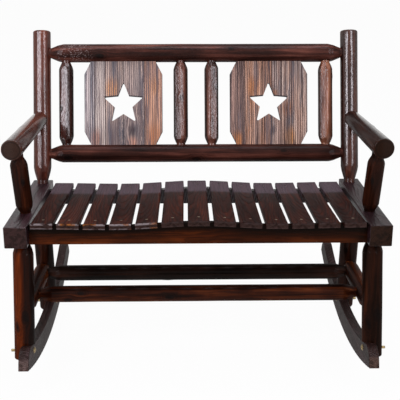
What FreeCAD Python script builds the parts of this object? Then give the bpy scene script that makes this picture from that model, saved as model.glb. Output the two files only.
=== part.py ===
import FreeCAD, Part
import math
import os

# Two-seat rocking bench built from peeled logs, sawn seat rails and boards, on two curved rockers.
# Millimetres. The bench is drawn with its seat rails level: x to the right as seen from in front,
# y from the front of the seat rails to the back, z up from the top of the seat rails.
# At the end the whole bench is leaned back on its rockers until it balances, and moved so that
# the floor is z = 0 and the origin is under the middle of its box.

# Side rails of the seat
OVERALL_WIDTH = 1084.0
RAIL_LENGTH = 488.0
RAIL_WIDTH = 64.0
RAIL_HEIGHT = 62.0
RAIL_EDGE = 3.0

# Back posts, which stand in the side rails and lean back
POST_DIAMETER = 58.0
POST_LENGTH = 498.0
POST_LEAN = 17.0
POST_SETBACK = 32.0
POST_INSET = 3.0
POST_NECK = 35.0
POST_TAPER = 52.0
POST_TENON = 38.0

# Back rails, measured up along the posts
TOP_RAIL_DIAMETER = 60.0
TOP_RAIL_UP = 425.5
LOWER_RAIL_DIAMETER = 59.0
LOWER_RAIL_UP = 95.0
BACK_RAIL_NECK = 33.0
BACK_RAIL_TAPER = 44.0
BACK_RAIL_TENON = 22.0

# Spindles between the back rails, measured from the middle of the back
SPINDLE_DIAMETER = 47.5
SPINDLE_NECK = 29.0
SPINDLE_TAPER = 28.0
SPINDLE_TENON = 16.0
INNER_SPINDLE_X = 51.0
OUTER_SPINDLE_INSET = 82.0

# Panels with the star cut-outs
PANEL_SIDE_GAP = 36.75
PANEL_THICKNESS = 18.0
PANEL_TONGUE = 9.0
PANEL_CORNER_WIDTH = 21.0
PANEL_CORNER_HEIGHT = 41.0
PANEL_EDGE = 1.5
STAR_RADIUS = 68.5
STAR_STRETCH = 1.06
STAR_WAIST = 31.0
STAR_DROP = 3.0
STAR_TIP = 3.0

# Arms, which thin towards the back, and the posts under their front ends
ARM_DIAMETER = 60.0
ARM_HEIGHT = 203.0
ARM_FRONT = 66.0
ARM_REAR_DIAMETER = 51.0
ARM_OFFSET = 8.0
ARM_REAR_OFFSET = 6.0
ARM_END_SETBACK = 10.0
ARM_EASE = 4.0
SUPPORT_DIAMETER = 50.0
SUPPORT_NECK = 32.0
SUPPORT_TAPER = 26.0
SUPPORT_TENON = 20.0
SUPPORT_SHOW = 5.0
SUPPORT_FOOT_Y = 140.0
SUPPORT_FOOT_INSET = 5.0
SUPPORT_HEAD_Y = 110.0
SUPPORT_HEAD_INSET = 7.0

# Seat slats, which run from front to back over two cross boards
SLAT_COUNT = 13
SLAT_GAP = 11.8
SLAT_END_GAP = 10.7
SLAT_FRONT = 2.0
SLAT_REAR_SETBACK = 30.0
SLAT_THICKNESS = 16.0
SLAT_HOLLOW = 4.5
SLAT_CREASE_SETBACK = 110.0
SLAT_REAR_THICKNESS = 15.0
SLAT_EDGE = 3.0
SEAT_DROP = 10.0
SEAT_FALL = 10.0
SEAT_RIDGE = 10.0
SEAT_DIP_SHARE = 0.486
SEAT_SIDE_RISE = 3.5

# Cross boards that carry the slats, let into the side rails
APRON_SETBACK = 33.0
BOARD_THICKNESS = 22.0
BOARD_HOUSING = 6.0
REAR_BOARD_SETBACK = 73.0

# Legs
LEG_DIAMETER = 59.0
LEG_INSET = 6.0
LEG_NECK = 34.0
LEG_TAPER = 38.0
LEG_TENON = 26.0
FRONT_LEG_Y = 75.0
FRONT_LEG_LEAN = 13.5
REAR_LEG_SETBACK = 115.0
REAR_LEG_LEAN = 7.0
LAP_THICKNESS = 27.5
LAP_DEPTH = 42.0

# Rockers
ROCKER_RADIUS = 1150.0
ROCKER_HEIGHT = 62.0
ROCKER_THICKNESS = 29.0
ROCKER_LOW_Y = 285.0
ROCKER_DROP = 456.0
ROCKER_FRONT_REACH = 382.0
ROCKER_REAR_REACH = 470.0
ROCKER_NOSE = 42.0
ROCKER_EDGE = 2.0

# Stretchers between the legs
STRETCHER_DROP = 265.0
SIDE_STRETCHER_DIAMETER = 51.0
SIDE_STRETCHER_NECK = 34.0
SIDE_STRETCHER_TAPER = 36.0
SIDE_STRETCHER_TENON = 20.0
CROSS_DIAMETER = 50.0
CROSS_NECK = 31.0
CROSS_TAPER = 40.0
CROSS_TENON = 16.0
FRONT_CROSS_Y = 150.0
REAR_CROSS_Y = 318.0

# Bolts through the legs and the rockers
BOLT_DIAMETER = 8.0
BOLT_HEAD_DIAMETER = 19.0
BOLT_HEAD_HEIGHT = 4.5
BOLT_DROP = 18.0
BOLT_END = 10.5
BOLT_CHAMFER = 1.0
BOLT_RECESS = 9.0
NUT_WIDTH = 13.0
NUT_HEIGHT = 6.5
NUT_BEVEL = 0.2
NUT_BEVEL_SLOPE = 1.6
WASHER_DIAMETER = 20.0
WASHER_THICKNESS = 1.6

# Lag screws that pull the arms against the posts
LAG_DIAMETER = 8.0
LAG_BITE = 55.0
LAG_HEAD_WIDTH = 13.0
LAG_HEAD_HEIGHT = 5.5
LAG_POINT = 2.0
LAG_RECESS = 3.0

# Countersunk screws
SCREW_DIAMETER = 4.5
SCREW_HEAD = 8.5
SCREW_HEAD_HEIGHT = 2.6
SLAT_SCREW_LENGTH = 36.0
BOARD_SCREW_LENGTH = 95.0
BOARD_SCREW_SPREAD = 13.0
SCREW_SINK = 0.4

# Clearances and shares that all joints use
FIT = 0.15
CUT_MARGIN = 1.0
TENON_END_GAP = 1.0
MORTISE_MOUTH = 30.0
SHOULDER_SHOW = 3.0
LEANING_SHOULDER_SHOW = 8.0
LOG_EASE = 5.0

# Hewn ends: facets round the log, how far down the first cut goes, and how far the tenon runs
# into the taper. Past the taper the cutting envelope spreads clear of the log.
TAPER_SIDES = 9
TAPER_BELLY = 0.66
TAPER_MARGIN = 1.02
PIN_OVERLAP = 0.25
ENVELOPE_RUNOUT = 1.2
ENVELOPE_SPREAD = 1.45

# Densities that decide how far back the bench leans when it balances, kg per cubic metre
WOOD_DENSITY = 480.0
STEEL_DENSITY = 7850.0

X_AXIS = FreeCAD.Vector(1, 0, 0)
Y_AXIS = FreeCAD.Vector(0, 1, 0)
Z_AXIS = FreeCAD.Vector(0, 0, 1)
RIGHT_SIDE = (1,)
BOTH_SIDES = (1, -1)

# Places worked out from the sizes above
rail_x = OVERALL_WIDTH / 2 - RAIL_WIDTH / 2
rail_inner_x = rail_x - RAIL_WIDTH / 2
post_x = rail_x - POST_INSET
post_foot_y = RAIL_LENGTH - POST_SETBACK
post_axis = FreeCAD.Vector(0, math.sin(math.radians(POST_LEAN)), math.cos(math.radians(POST_LEAN)))
leg_x = rail_x - LEG_INSET
rear_leg_y = RAIL_LENGTH - REAR_LEG_SETBACK
lap_inner_x = leg_x + LEG_DIAMETER / 2 - LAP_THICKNESS
rocker_x = lap_inner_x - FIT - ROCKER_THICKNESS / 2
rocker_center = FreeCAD.Vector(rocker_x, ROCKER_LOW_Y, ROCKER_RADIUS - ROCKER_DROP)
rocker_top_radius = ROCKER_RADIUS - ROCKER_HEIGHT
slat_width = (2 * (rail_inner_x - SLAT_END_GAP) - (SLAT_COUNT - 1) * SLAT_GAP) / SLAT_COUNT
slat_pitch = slat_width + SLAT_GAP
seat_dip_x = SEAT_DIP_SHARE * SLAT_COUNT * slat_pitch / 2
slat_rear_y = RAIL_LENGTH - SLAT_REAR_SETBACK
outer_spindle_x = rail_x - OUTER_SPINDLE_INSET
spindle_places = (-outer_spindle_x, -INNER_SPINDLE_X, INNER_SPINDLE_X, outer_spindle_x)
panel_x = (INNER_SPINDLE_X + outer_spindle_x) / 2
panel_width = outer_spindle_x - INNER_SPINDLE_X - SPINDLE_DIAMETER - 2 * PANEL_SIDE_GAP
apron_y = APRON_SETBACK
rear_board_y = RAIL_LENGTH - REAR_BOARD_SETBACK
seat_slope = -SEAT_FALL / (rear_board_y - apron_y)


def vec(x, y, z):
    """A point."""
    return FreeCAD.Vector(x, y, z)


def on_post(x, up):
    """The point on the plane of the back, a distance up along the posts."""
    return vec(x, post_foot_y, 0) + post_axis * up


def regular_wire(sides, inner_radius, z):
    """A regular polygon whose flats lie at a radius from the z axis."""
    corner = inner_radius / math.cos(math.pi / sides)
    points = [
        vec(corner * math.cos(2 * math.pi * i / sides), corner * math.sin(2 * math.pi * i / sides), z)
        for i in range(sides + 1)
    ]
    return Part.makePolygon(points)


def aim(shape, start, end):
    """Lay a shape drawn along +z so that it runs from one point towards another."""
    turned = shape.copy()
    turned.Placement = FreeCAD.Placement(start, FreeCAD.Rotation(Z_AXIS, end - start))
    return turned


def rod(start, end, diameter, before=0.0, after=0.0):
    """A round rod along the line between two points, lengthened at its ends."""
    length = (end - start).Length + before + after
    bar = Part.makeCylinder(diameter / 2, length, vec(0, 0, -before))
    return aim(bar, start, end)


def log(start, end, diameter, low=None, high=None):
    """A log from one seat to another. An end is plain with an eased edge, or it is hewn down in
    flat facets to a round neck and tenon, given as (neck, taper length, tenon length, show)."""
    length = (end - start).Length
    radius = diameter / 2
    body = Part.makeCylinder(radius, length)
    sections = []
    for spec, at, inward in ((low, 0.0, 1), (high, length, -1)):
        if spec is None:
            rim = [edge for edge in body.Edges if abs(edge.BoundBox.ZMin - at) < FIT
                   and abs(edge.BoundBox.ZMax - at) < FIT]
            body = body.makeFillet(LOG_EASE, rim)
            ring = [(at - inward * radius, radius * ENVELOPE_SPREAD)]
        else:
            neck, taper, tenon, show = spec
            waist = neck / 2 + FIT * 2
            belly = waist + (radius - waist) * TAPER_BELLY
            ring = [
                (at + inward * show, waist),
                (at + inward * (show + taper / 2), belly),
                (at + inward * (show + taper), radius * TAPER_MARGIN),
                (at + inward * (show + taper * ENVELOPE_RUNOUT), radius * ENVELOPE_SPREAD),
            ]
        sections += ring if inward > 0 else ring[::-1]
    envelope = Part.makeLoft([regular_wire(TAPER_SIDES, r, z) for z, r in sections], True, True)
    shaped = body.common(envelope)
    for spec, at, inward in ((low, 0.0, 1), (high, length, -1)):
        if spec is not None:
            neck, taper, tenon, show = spec
            foot = at - inward * tenon
            tip = at + inward * (show + taper * PIN_OVERLAP)
            pin = Part.makeCylinder(neck / 2, abs(tip - foot), vec(0, 0, min(foot, tip)))
            shaped = shaped.fuse(pin)
    return aim(shaped.removeSplitter(), start, end)


def mortise(seat, away, spec):
    """The round hole that takes a tenon. The piece with the tenon lies towards the point away."""
    neck, taper, tenon, show = spec
    outward = (away - seat).normalize()
    return rod(seat - outward * (tenon + TENON_END_GAP), seat + outward * MORTISE_MOUTH, neck + 2 * FIT)


def mirrored(shape):
    """The same piece for the other side of the bench."""
    return shape.mirror(vec(0, 0, 0), X_AXIS)


def eased(shape, radius, test):
    """Round the straight edges that pass a test."""
    edges = [edge for edge in shape.Edges if test(edge)]
    return shape.makeFillet(radius, edges)


def hexagon_prism(width, height):
    """A hexagon bar standing on z = 0."""
    return Part.Face(regular_wire(6, width / 2, 0)).extrude(vec(0, 0, height))


def countersunk_screw(length):
    """A screw along -z whose flat head lies in the plane z = 0."""
    head = Part.makeCone(SCREW_DIAMETER / 2, SCREW_HEAD / 2, SCREW_HEAD_HEIGHT, vec(0, 0, -SCREW_HEAD_HEIGHT))
    shank = Part.makeCylinder(SCREW_DIAMETER / 2, length - SCREW_HEAD_HEIGHT, vec(0, 0, -length))
    return head.fuse(shank).removeSplitter()


def countersunk_hole(length):
    """The hole for such a screw, with its head sunk below the surface."""
    head = Part.makeCone(SCREW_DIAMETER / 2 + FIT, SCREW_HEAD / 2 + FIT, SCREW_HEAD_HEIGHT,
                         vec(0, 0, -SCREW_HEAD_HEIGHT))
    mouth = Part.makeCylinder(SCREW_HEAD / 2 + FIT, SCREW_HEAD)
    shank = Part.makeCylinder(SCREW_DIAMETER / 2 + FIT, length + TENON_END_GAP,
                              vec(0, 0, -length - TENON_END_GAP))
    return head.fuse(mouth).fuse(shank)


# Seat surface

def seat_wave(x):
    """Height of the seat over its lowest line: a ridge in the middle and a rise at each side."""
    side = abs(x)
    if side < seat_dip_x:
        return SEAT_RIDGE / 2 * (1 + math.cos(math.pi * side / seat_dip_x))
    span = SLAT_COUNT * slat_pitch / 2 - seat_dip_x
    return SEAT_SIDE_RISE / 2 * (1 - math.cos(math.pi * (side - seat_dip_x) / span))


def seat_under(x, y):
    """Height of the underside of the slats."""
    return -SEAT_DROP + seat_slope * (y - apron_y) + seat_wave(x)


def slat_center(index):
    """Middle of a slat across the bench."""
    return (index - (SLAT_COUNT - 1) / 2) * slat_pitch


def slat_frame(index):
    """The slat's own axes: its origin on the underside at the front, tilted to its seats."""
    x = slat_center(index)
    left = seat_wave(x - slat_width / 2)
    right = seat_wave(x + slat_width / 2)
    roll = math.degrees(math.atan2(right - left, slat_width))
    pitch = math.degrees(math.atan(seat_slope))
    base = seat_under(0, SLAT_FRONT) - seat_wave(0) + (left + right) / 2
    turn = FreeCAD.Rotation(X_AXIS, pitch) * FreeCAD.Rotation(Y_AXIS, -roll)
    return FreeCAD.Placement(vec(x, SLAT_FRONT, base), turn)


def slat_top(y):
    """Thickness of a slat at a distance from its front end: two arcs that meet level at the
    lowest line of the seat, a long shallow one in front and a short one behind."""
    crease = slat_rear_y - SLAT_FRONT - SLAT_CREASE_SETBACK
    low = SLAT_THICKNESS - SLAT_HOLLOW
    if y > crease:
        reach, rise = SLAT_CREASE_SETBACK, SLAT_REAR_THICKNESS - low
    else:
        reach, rise = crease, SLAT_HOLLOW
    radius = (reach ** 2 + rise ** 2) / (2 * rise)
    return low + radius - math.sqrt(radius ** 2 - (y - crease) ** 2)


def slat(index):
    """A slat, hollowed along its top, with eased long edges and a round front edge."""
    length = slat_rear_y - SLAT_FRONT
    crease = length - SLAT_CREASE_SETBACK
    half = slat_width / 2

    def crown(y):
        return vec(-half, y, slat_top(y))

    edges = [
        Part.LineSegment(vec(-half, 0, 0), crown(0)).toShape(),
        Part.Arc(crown(0), crown(crease / 2), crown(crease)).toShape(),
        Part.Arc(crown(crease), crown((crease + length) / 2), crown(length)).toShape(),
        Part.LineSegment(crown(length), vec(-half, length, 0)).toShape(),
        Part.LineSegment(vec(-half, length, 0), vec(-half, 0, 0)).toShape(),
    ]
    board = Part.Face(Part.Wire(edges)).extrude(vec(slat_width, 0, 0))
    board = eased(board, SLAT_EDGE, lambda edge: abs(edge.CenterOfMass.x) > half - FIT
                  and edge.CenterOfMass.z > SLAT_THICKNESS / 2
                  or edge.CenterOfMass.y < FIT and edge.CenterOfMass.z > SLAT_THICKNESS - FIT)
    board.Placement = slat_frame(index)
    for board_y in (apron_y, rear_board_y):
        place = slat_screw_place(index, board_y)
        board = board.cut(place_at(countersunk_hole(SLAT_SCREW_LENGTH), place))
    return board


def slat_screw_place(index, board_y):
    """Where the screw of a slat goes, over the middle of a cross board."""
    along = board_y + BOARD_THICKNESS / 2 - SLAT_FRONT
    local = FreeCAD.Placement(vec(0, along, slat_top(along) - SCREW_SINK), FreeCAD.Rotation())
    return slat_frame(index) * local


def place_at(shape, placement):
    """A copy of a shape at a placement."""
    copy = shape.copy()
    copy.Placement = placement
    return copy


def cross_board(front_y, end_trim):
    """A board across the bench whose top is cut in flats to the seats of the slats."""
    half = rail_inner_x + BOARD_HOUSING - end_trim
    top = [vec(-half, front_y, seat_under(-half, front_y))]
    for index in range(SLAT_COUNT):
        for side in (-slat_width / 2, slat_width / 2):
            x = slat_center(index) + side
            top.append(vec(x, front_y, seat_under(x, front_y)))
    top.append(vec(half, front_y, seat_under(half, front_y)))
    foot = [vec(half, front_y, -RAIL_HEIGHT), vec(-half, front_y, -RAIL_HEIGHT)]
    face = Part.Face(Part.makePolygon(top + foot + [top[0]]))
    board = face.extrude(vec(0, BOARD_THICKNESS, seat_slope * BOARD_THICKNESS))
    below = Part.makeBox(2 * (half + CUT_MARGIN), BOARD_THICKNESS + 2 * CUT_MARGIN, RAIL_HEIGHT,
                         vec(-half - CUT_MARGIN, front_y - CUT_MARGIN, -2 * RAIL_HEIGHT))
    board = board.cut(below)
    for index in range(SLAT_COUNT):
        place = slat_screw_place(index, front_y)
        board = board.cut(place_at(countersunk_hole(SLAT_SCREW_LENGTH), place))
    for place in board_screw_places(front_y, BOTH_SIDES):
        board = board.cut(place_at(countersunk_hole(BOARD_SCREW_LENGTH), place))
    return board


def board_screw_places(front_y, sides):
    """Two screws through a side rail into the end of a cross board, on the sides asked for."""
    places = []
    middle = (seat_under(rail_inner_x, front_y) - RAIL_HEIGHT) / 2
    for side in sides:
        turn = FreeCAD.Rotation(Z_AXIS, X_AXIS * side)
        for lift in (BOARD_SCREW_SPREAD, -BOARD_SCREW_SPREAD):
            head_x = side * (rail_x + RAIL_WIDTH / 2 - SCREW_SINK)
            spot = vec(head_x, front_y + BOARD_THICKNESS / 2, middle + lift)
            places.append(FreeCAD.Placement(spot, turn))
    return places


# Lines that the logs follow, all on the right side of the bench

def along_lean(start, lean, radius):
    """The point where a leg that leans from its head meets an arc about the rockers' centre."""
    step = vec(0, math.sin(math.radians(lean)), -math.cos(math.radians(lean)))
    offset = vec(0, start.y - rocker_center.y, start.z - rocker_center.z)
    half_b = offset.dot(step)
    distance = -half_b + math.sqrt(half_b ** 2 - offset.dot(offset) + radius ** 2)
    return start + step * distance


def height_on(start, end, z):
    """The point of a line at a height."""
    return start + (end - start) * ((z - start.z) / (end.z - start.z))


def curved_seat(radius, offset=0.0):
    """How far below the crown of a log the seat lies, at an offset from its axis."""
    return math.sqrt(radius ** 2 - offset ** 2)


post_end = (POST_NECK, POST_TAPER, POST_TENON, LEANING_SHOULDER_SHOW)
back_rail_end = (BACK_RAIL_NECK, BACK_RAIL_TAPER, BACK_RAIL_TENON, SHOULDER_SHOW)
spindle_end = (SPINDLE_NECK, SPINDLE_TAPER, SPINDLE_TENON, SHOULDER_SHOW)
support_end = (SUPPORT_NECK, SUPPORT_TAPER, SUPPORT_TENON, SUPPORT_SHOW)
leg_end = (LEG_NECK, LEG_TAPER, LEG_TENON, LEANING_SHOULDER_SHOW)
side_end = (SIDE_STRETCHER_NECK, SIDE_STRETCHER_TAPER, SIDE_STRETCHER_TENON, LEANING_SHOULDER_SHOW)
cross_end = (CROSS_NECK, CROSS_TAPER, CROSS_TENON, SHOULDER_SHOW)

post_foot = vec(post_x, post_foot_y, 0)
post_head = on_post(post_x, POST_LENGTH)

post_at_arm = height_on(post_foot, post_head, ARM_HEIGHT)
arm_front = vec(rail_x + ARM_OFFSET, ARM_FRONT, ARM_HEIGHT)
arm_line = (post_at_arm + X_AXIS * ARM_REAR_OFFSET - arm_front).normalize()
arm_rear = post_at_arm + X_AXIS * ARM_REAR_OFFSET - arm_line * ARM_END_SETBACK
arm_over_support = arm_front + arm_line * (SUPPORT_HEAD_Y - ARM_FRONT)
arm_radius = ARM_DIAMETER / 2 - (ARM_DIAMETER - ARM_REAR_DIAMETER) / 2 * (
    (SUPPORT_HEAD_Y - ARM_FRONT) / (arm_rear.y - ARM_FRONT))

support_foot = vec(rail_x - SUPPORT_FOOT_INSET, SUPPORT_FOOT_Y, 0)
support_head = vec(arm_over_support.x - SUPPORT_HEAD_INSET, SUPPORT_HEAD_Y,
                   ARM_HEIGHT - curved_seat(arm_radius, SUPPORT_HEAD_INSET))

front_leg_head = vec(leg_x, FRONT_LEG_Y, -RAIL_HEIGHT)
rear_leg_head = vec(leg_x, rear_leg_y, -RAIL_HEIGHT)
front_leg_foot = along_lean(front_leg_head, -FRONT_LEG_LEAN, rocker_top_radius + LAP_DEPTH)
rear_leg_foot = along_lean(rear_leg_head, REAR_LEG_LEAN, rocker_top_radius + LAP_DEPTH)
front_bolt = along_lean(front_leg_head, -FRONT_LEG_LEAN, rocker_top_radius + BOLT_DROP)
rear_bolt = along_lean(rear_leg_head, REAR_LEG_LEAN, rocker_top_radius + BOLT_DROP)

front_crossing = height_on(front_leg_head, front_leg_foot, -STRETCHER_DROP)
rear_crossing = height_on(rear_leg_head, rear_leg_foot, -STRETCHER_DROP)
side_front = front_crossing + Y_AXIS * (LEG_DIAMETER / 2 / math.cos(math.radians(FRONT_LEG_LEAN)))
side_rear = rear_crossing - Y_AXIS * (LEG_DIAMETER / 2 / math.cos(math.radians(REAR_LEG_LEAN)))


def cross_seat(y):
    """Where a cross stretcher meets the inner face of the side stretcher."""
    return vec(leg_x - SIDE_STRETCHER_DIAMETER / 2, y, -STRETCHER_DROP)


def mirror_point(point):
    """The same point on the other side of the bench."""
    return vec(-point.x, point.y, point.z)


# Pieces

def side_rail():
    """A sawn seat rail with its mortises and the housings for the cross boards."""
    beam = Part.makeBox(RAIL_WIDTH, RAIL_LENGTH, RAIL_HEIGHT, vec(rail_inner_x, 0, -RAIL_HEIGHT))
    beam = beam.makeFillet(RAIL_EDGE, beam.Edges)
    beam = beam.cut(mortise(post_foot, post_head, post_end))
    beam = beam.cut(mortise(support_foot, support_head, support_end))
    beam = beam.cut(mortise(front_leg_head, front_leg_foot, leg_end))
    beam = beam.cut(mortise(rear_leg_head, rear_leg_foot, leg_end))
    for front_y in (apron_y, rear_board_y):
        top = max(seat_under(rail_inner_x, front_y), seat_under(rail_inner_x, front_y + BOARD_THICKNESS))
        corner = vec(rail_inner_x - RAIL_WIDTH, front_y - FIT, top + FIT - 2 * RAIL_HEIGHT)
        beam = beam.cut(Part.makeBox(RAIL_WIDTH + BOARD_HOUSING + FIT, BOARD_THICKNESS + 2 * FIT,
                                     2 * RAIL_HEIGHT, corner))
        for place in board_screw_places(front_y, RIGHT_SIDE):
            beam = beam.cut(place_at(countersunk_hole(BOARD_SCREW_LENGTH), place))
    return beam


def rear_post():
    """A back post with the mortises of the back rails and the bore of the arm's lag screw."""
    post = log(post_foot, post_head, POST_DIAMETER, low=post_end)
    for up in (TOP_RAIL_UP, LOWER_RAIL_UP):
        post = post.cut(mortise(on_post(back_reach, up), on_post(0, up), back_rail_end))
    post = post.cut(rod(lag_tip, lag_seat, LAG_DIAMETER + 2 * FIT))
    return post.cut(rod(lag_seat, lag_seat + arm_line, WASHER_DIAMETER + 4 * FIT, after=POST_DIAMETER))


def back_rail(up, diameter, toward):
    """A back rail with hewn ends, mortised for the spindles and grooved for the panels on the
    side that looks towards the other rail."""
    bar = log(on_post(-back_reach, up), on_post(back_reach, up), diameter, low=back_rail_end,
              high=back_rail_end)
    for x in spindle_places:
        seat = on_post(x, up + toward * diameter / 2)
        bar = bar.cut(mortise(seat, seat + post_axis * toward, spindle_end))
    width = panel_width - 2 * PANEL_CORNER_WIDTH + 2 * FIT
    depth = PANEL_TONGUE + FIT
    for x in (-panel_x, panel_x):
        foot = diameter / 2 - depth if toward > 0 else -diameter
        groove = Part.makeBox(width, PANEL_THICKNESS + 2 * FIT, depth + diameter / 2,
                              vec(-width / 2, -PANEL_THICKNESS / 2 - FIT, foot))
        bar = bar.cut(laid_on_back(groove, x, up))
    return bar


def laid_on_back(shape, x, up):
    """Move a shape drawn upright about the origin onto the leaning plane of the back."""
    return place_at(shape, FreeCAD.Placement(on_post(x, up), FreeCAD.Rotation(X_AXIS, -POST_LEAN)))


def spindle(x):
    """A spindle between the two back rails."""
    low = on_post(x, LOWER_RAIL_UP + LOWER_RAIL_DIAMETER / 2)
    high = on_post(x, TOP_RAIL_UP - TOP_RAIL_DIAMETER / 2)
    return log(low, high, SPINDLE_DIAMETER, low=spindle_end, high=spindle_end)


def star_prism():
    """A five-pointed star with slightly rounded tips, standing across the panel."""
    points = []
    for i in range(11):
        reach = STAR_RADIUS if i % 2 == 0 else STAR_WAIST
        angle = math.pi / 2 + i * math.pi / 5
        points.append(vec(reach * math.cos(angle), -PANEL_THICKNESS,
                          reach * math.sin(angle) * STAR_STRETCH))
    prism = Part.Face(Part.makePolygon(points)).extrude(vec(0, 2 * PANEL_THICKNESS, 0))
    tip = (STAR_RADIUS + STAR_WAIST) / 2
    return eased(prism, STAR_TIP, lambda edge: len(edge.Vertexes) == 2
                 and abs(edge.Vertexes[0].Y - edge.Vertexes[1].Y) > PANEL_THICKNESS
                 and math.hypot(edge.CenterOfMass.x, edge.CenterOfMass.z) > tip)


def star_panel(x):
    """A back panel with cut corners, tongues for the rails' grooves and a star cut-out."""
    low = LOWER_RAIL_UP + LOWER_RAIL_DIAMETER / 2
    high = TOP_RAIL_UP - TOP_RAIL_DIAMETER / 2
    wide = panel_width / 2
    narrow = wide - PANEL_CORNER_WIDTH
    right = [
        (narrow, low - PANEL_TONGUE), (narrow, low), (wide, low + PANEL_CORNER_HEIGHT),
        (wide, high - PANEL_CORNER_HEIGHT), (narrow, high), (narrow, high + PANEL_TONGUE),
    ]
    outline = right + [(-across, up) for across, up in right[::-1]]
    points = [vec(across, -PANEL_THICKNESS / 2, up) for across, up in outline]
    board = Part.Face(Part.makePolygon(points + points[:1])).extrude(vec(0, PANEL_THICKNESS, 0))
    board = eased(board, PANEL_EDGE, lambda edge: abs(edge.CenterOfMass.x) > narrow + FIT
                  and abs(edge.Vertexes[0].Y - edge.Vertexes[1].Y) < FIT)
    star = star_prism()
    star.translate(vec(0, 0, (low + high) / 2 - STAR_DROP))
    return laid_on_back(board.cut(star), x, 0)


def arm():
    """An arm log that thins towards the back, with eased ends, scribed there to the round of the
    post and mortised in front for its support."""
    piece = Part.makeCone(ARM_DIAMETER / 2, ARM_REAR_DIAMETER / 2, (arm_rear - arm_front).Length)
    rims = [edge for edge in piece.Edges if edge.BoundBox.ZLength < FIT]
    piece = aim(piece.makeFillet(ARM_EASE, rims), arm_front, arm_rear)
    piece = piece.cut(rod(post_foot, post_head, POST_DIAMETER + 2 * FIT))
    piece = piece.cut(mortise(support_head, support_foot, support_end))
    return piece.cut(rod(lag_tip, lag_seat, LAG_DIAMETER + 2 * FIT, before=TENON_END_GAP))


def arm_support():
    """The short post between the side rail and the front of the arm."""
    return log(support_foot, support_head, SUPPORT_DIAMETER, low=support_end, high=support_end)


def leg(head, foot, bolt, stretcher_seat, stretcher_away):
    """A leg, notched at the foot so that its outer half laps the rocker."""
    post = log(head, foot, LEG_DIAMETER, low=leg_end)
    width = LEG_DIAMETER
    corner = vec(lap_inner_x - width, 0, 0)
    notch = Part.makeCylinder(ROCKER_RADIUS + ROCKER_DROP, width, corner, X_AXIS)
    notch = notch.cut(Part.makeCylinder(rocker_top_radius - FIT, width, corner, X_AXIS))
    notch.translate(vec(0, rocker_center.y, rocker_center.z))
    post = post.cut(notch)
    post = post.cut(mortise(stretcher_seat, stretcher_away, side_end))
    spot = vec(bolt_seat_x, bolt.y, bolt.z)
    post = post.cut(rod(spot, spot + X_AXIS * LEG_DIAMETER, WASHER_DIAMETER + 4 * FIT))
    return post.cut(rod(spot, spot - X_AXIS * LEG_DIAMETER, BOLT_DIAMETER + 2 * FIT))


def side_stretcher():
    """The log between the front and the rear leg, mortised for the cross stretchers."""
    bar = log(side_front, side_rear, SIDE_STRETCHER_DIAMETER, low=side_end, high=side_end)
    for y in (FRONT_CROSS_Y, REAR_CROSS_Y):
        bar = bar.cut(mortise(cross_seat(y), mirror_point(cross_seat(y)), cross_end))
    return bar


def cross_stretcher(y):
    """A log across the bench between the side stretchers."""
    return log(mirror_point(cross_seat(y)), cross_seat(y), CROSS_DIAMETER, low=cross_end, high=cross_end)


def rocker():
    """A curved rocker board with round noses and eased edges, bored for its two bolts."""
    def on_arc(radius, angle):
        return vec(rocker_x - ROCKER_THICKNESS / 2, rocker_center.y + radius * math.sin(angle),
                   rocker_center.z - radius * math.cos(angle))

    front = -math.asin(ROCKER_FRONT_REACH / ROCKER_RADIUS)
    rear = math.asin(ROCKER_REAR_REACH / ROCKER_RADIUS)
    under = [on_arc(ROCKER_RADIUS, angle) for angle in (front, 0, rear)]
    over = [on_arc(rocker_top_radius, angle) for angle in (rear, 0, front)]
    edges = [
        Part.Arc(*under).toShape(),
        Part.LineSegment(under[2], over[0]).toShape(),
        Part.Arc(*over).toShape(),
        Part.LineSegment(over[2], under[0]).toShape(),
    ]
    board = Part.Face(Part.Wire(edges)).extrude(X_AXIS * ROCKER_THICKNESS)
    board = eased(board, ROCKER_NOSE, lambda edge: abs(edge.CenterOfMass.x - rocker_x) < FIT
                  and min((edge.CenterOfMass - vec(rocker_x, over[i].y, over[i].z)).Length
                          for i in (0, 2)) < FIT)
    board = eased(board, ROCKER_EDGE, lambda edge: abs(edge.CenterOfMass.x - rocker_x)
                  > ROCKER_THICKNESS / 2 - FIT)
    for bolt in (front_bolt, rear_bolt):
        board = board.cut(rod(bolt, bolt - X_AXIS * ROCKER_THICKNESS * 2, BOLT_DIAMETER + 2 * FIT,
                              before=ROCKER_THICKNESS))
    return board


# Fasteners, in groups of like pieces

def both_sides(shapes):
    """A group of pieces and their likes on the other side."""
    return Part.makeCompound(shapes + [mirrored(shape) for shape in shapes])


def rocker_bolt(bolt):
    """A round-headed bolt with its head on the inner face of the rocker."""
    face = vec(rocker_x - ROCKER_THICKNESS / 2, bolt.y, bolt.z)
    ball = (BOLT_HEAD_DIAMETER ** 2 / 4 + BOLT_HEAD_HEIGHT ** 2) / (2 * BOLT_HEAD_HEIGHT)
    dome = Part.makeSphere(ball, vec(0, 0, BOLT_HEAD_HEIGHT - ball))
    dome = dome.common(Part.makeCylinder(BOLT_HEAD_DIAMETER, BOLT_HEAD_HEIGHT * 2))
    end = bolt_seat_x + WASHER_THICKNESS + NUT_HEIGHT + BOLT_END
    shank = Part.makeCylinder(BOLT_DIAMETER / 2, end - face.x + BOLT_HEAD_HEIGHT / 2,
                              vec(0, 0, face.x - end))
    tip = [edge for edge in shank.Edges if edge.BoundBox.ZMax < face.x - end + FIT]
    return aim(dome.fuse(shank.makeChamfer(BOLT_CHAMFER, tip)), face, face - X_AXIS)


def washer(seat, outward):
    """A flat washer on a seat."""
    ring = Part.makeCylinder(WASHER_DIAMETER / 2, WASHER_THICKNESS)
    ring = ring.cut(Part.makeCylinder(BOLT_DIAMETER / 2 + FIT, 3 * WASHER_THICKNESS,
                                      vec(0, 0, -WASHER_THICKNESS)))
    return aim(ring, seat, seat + outward)


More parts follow.
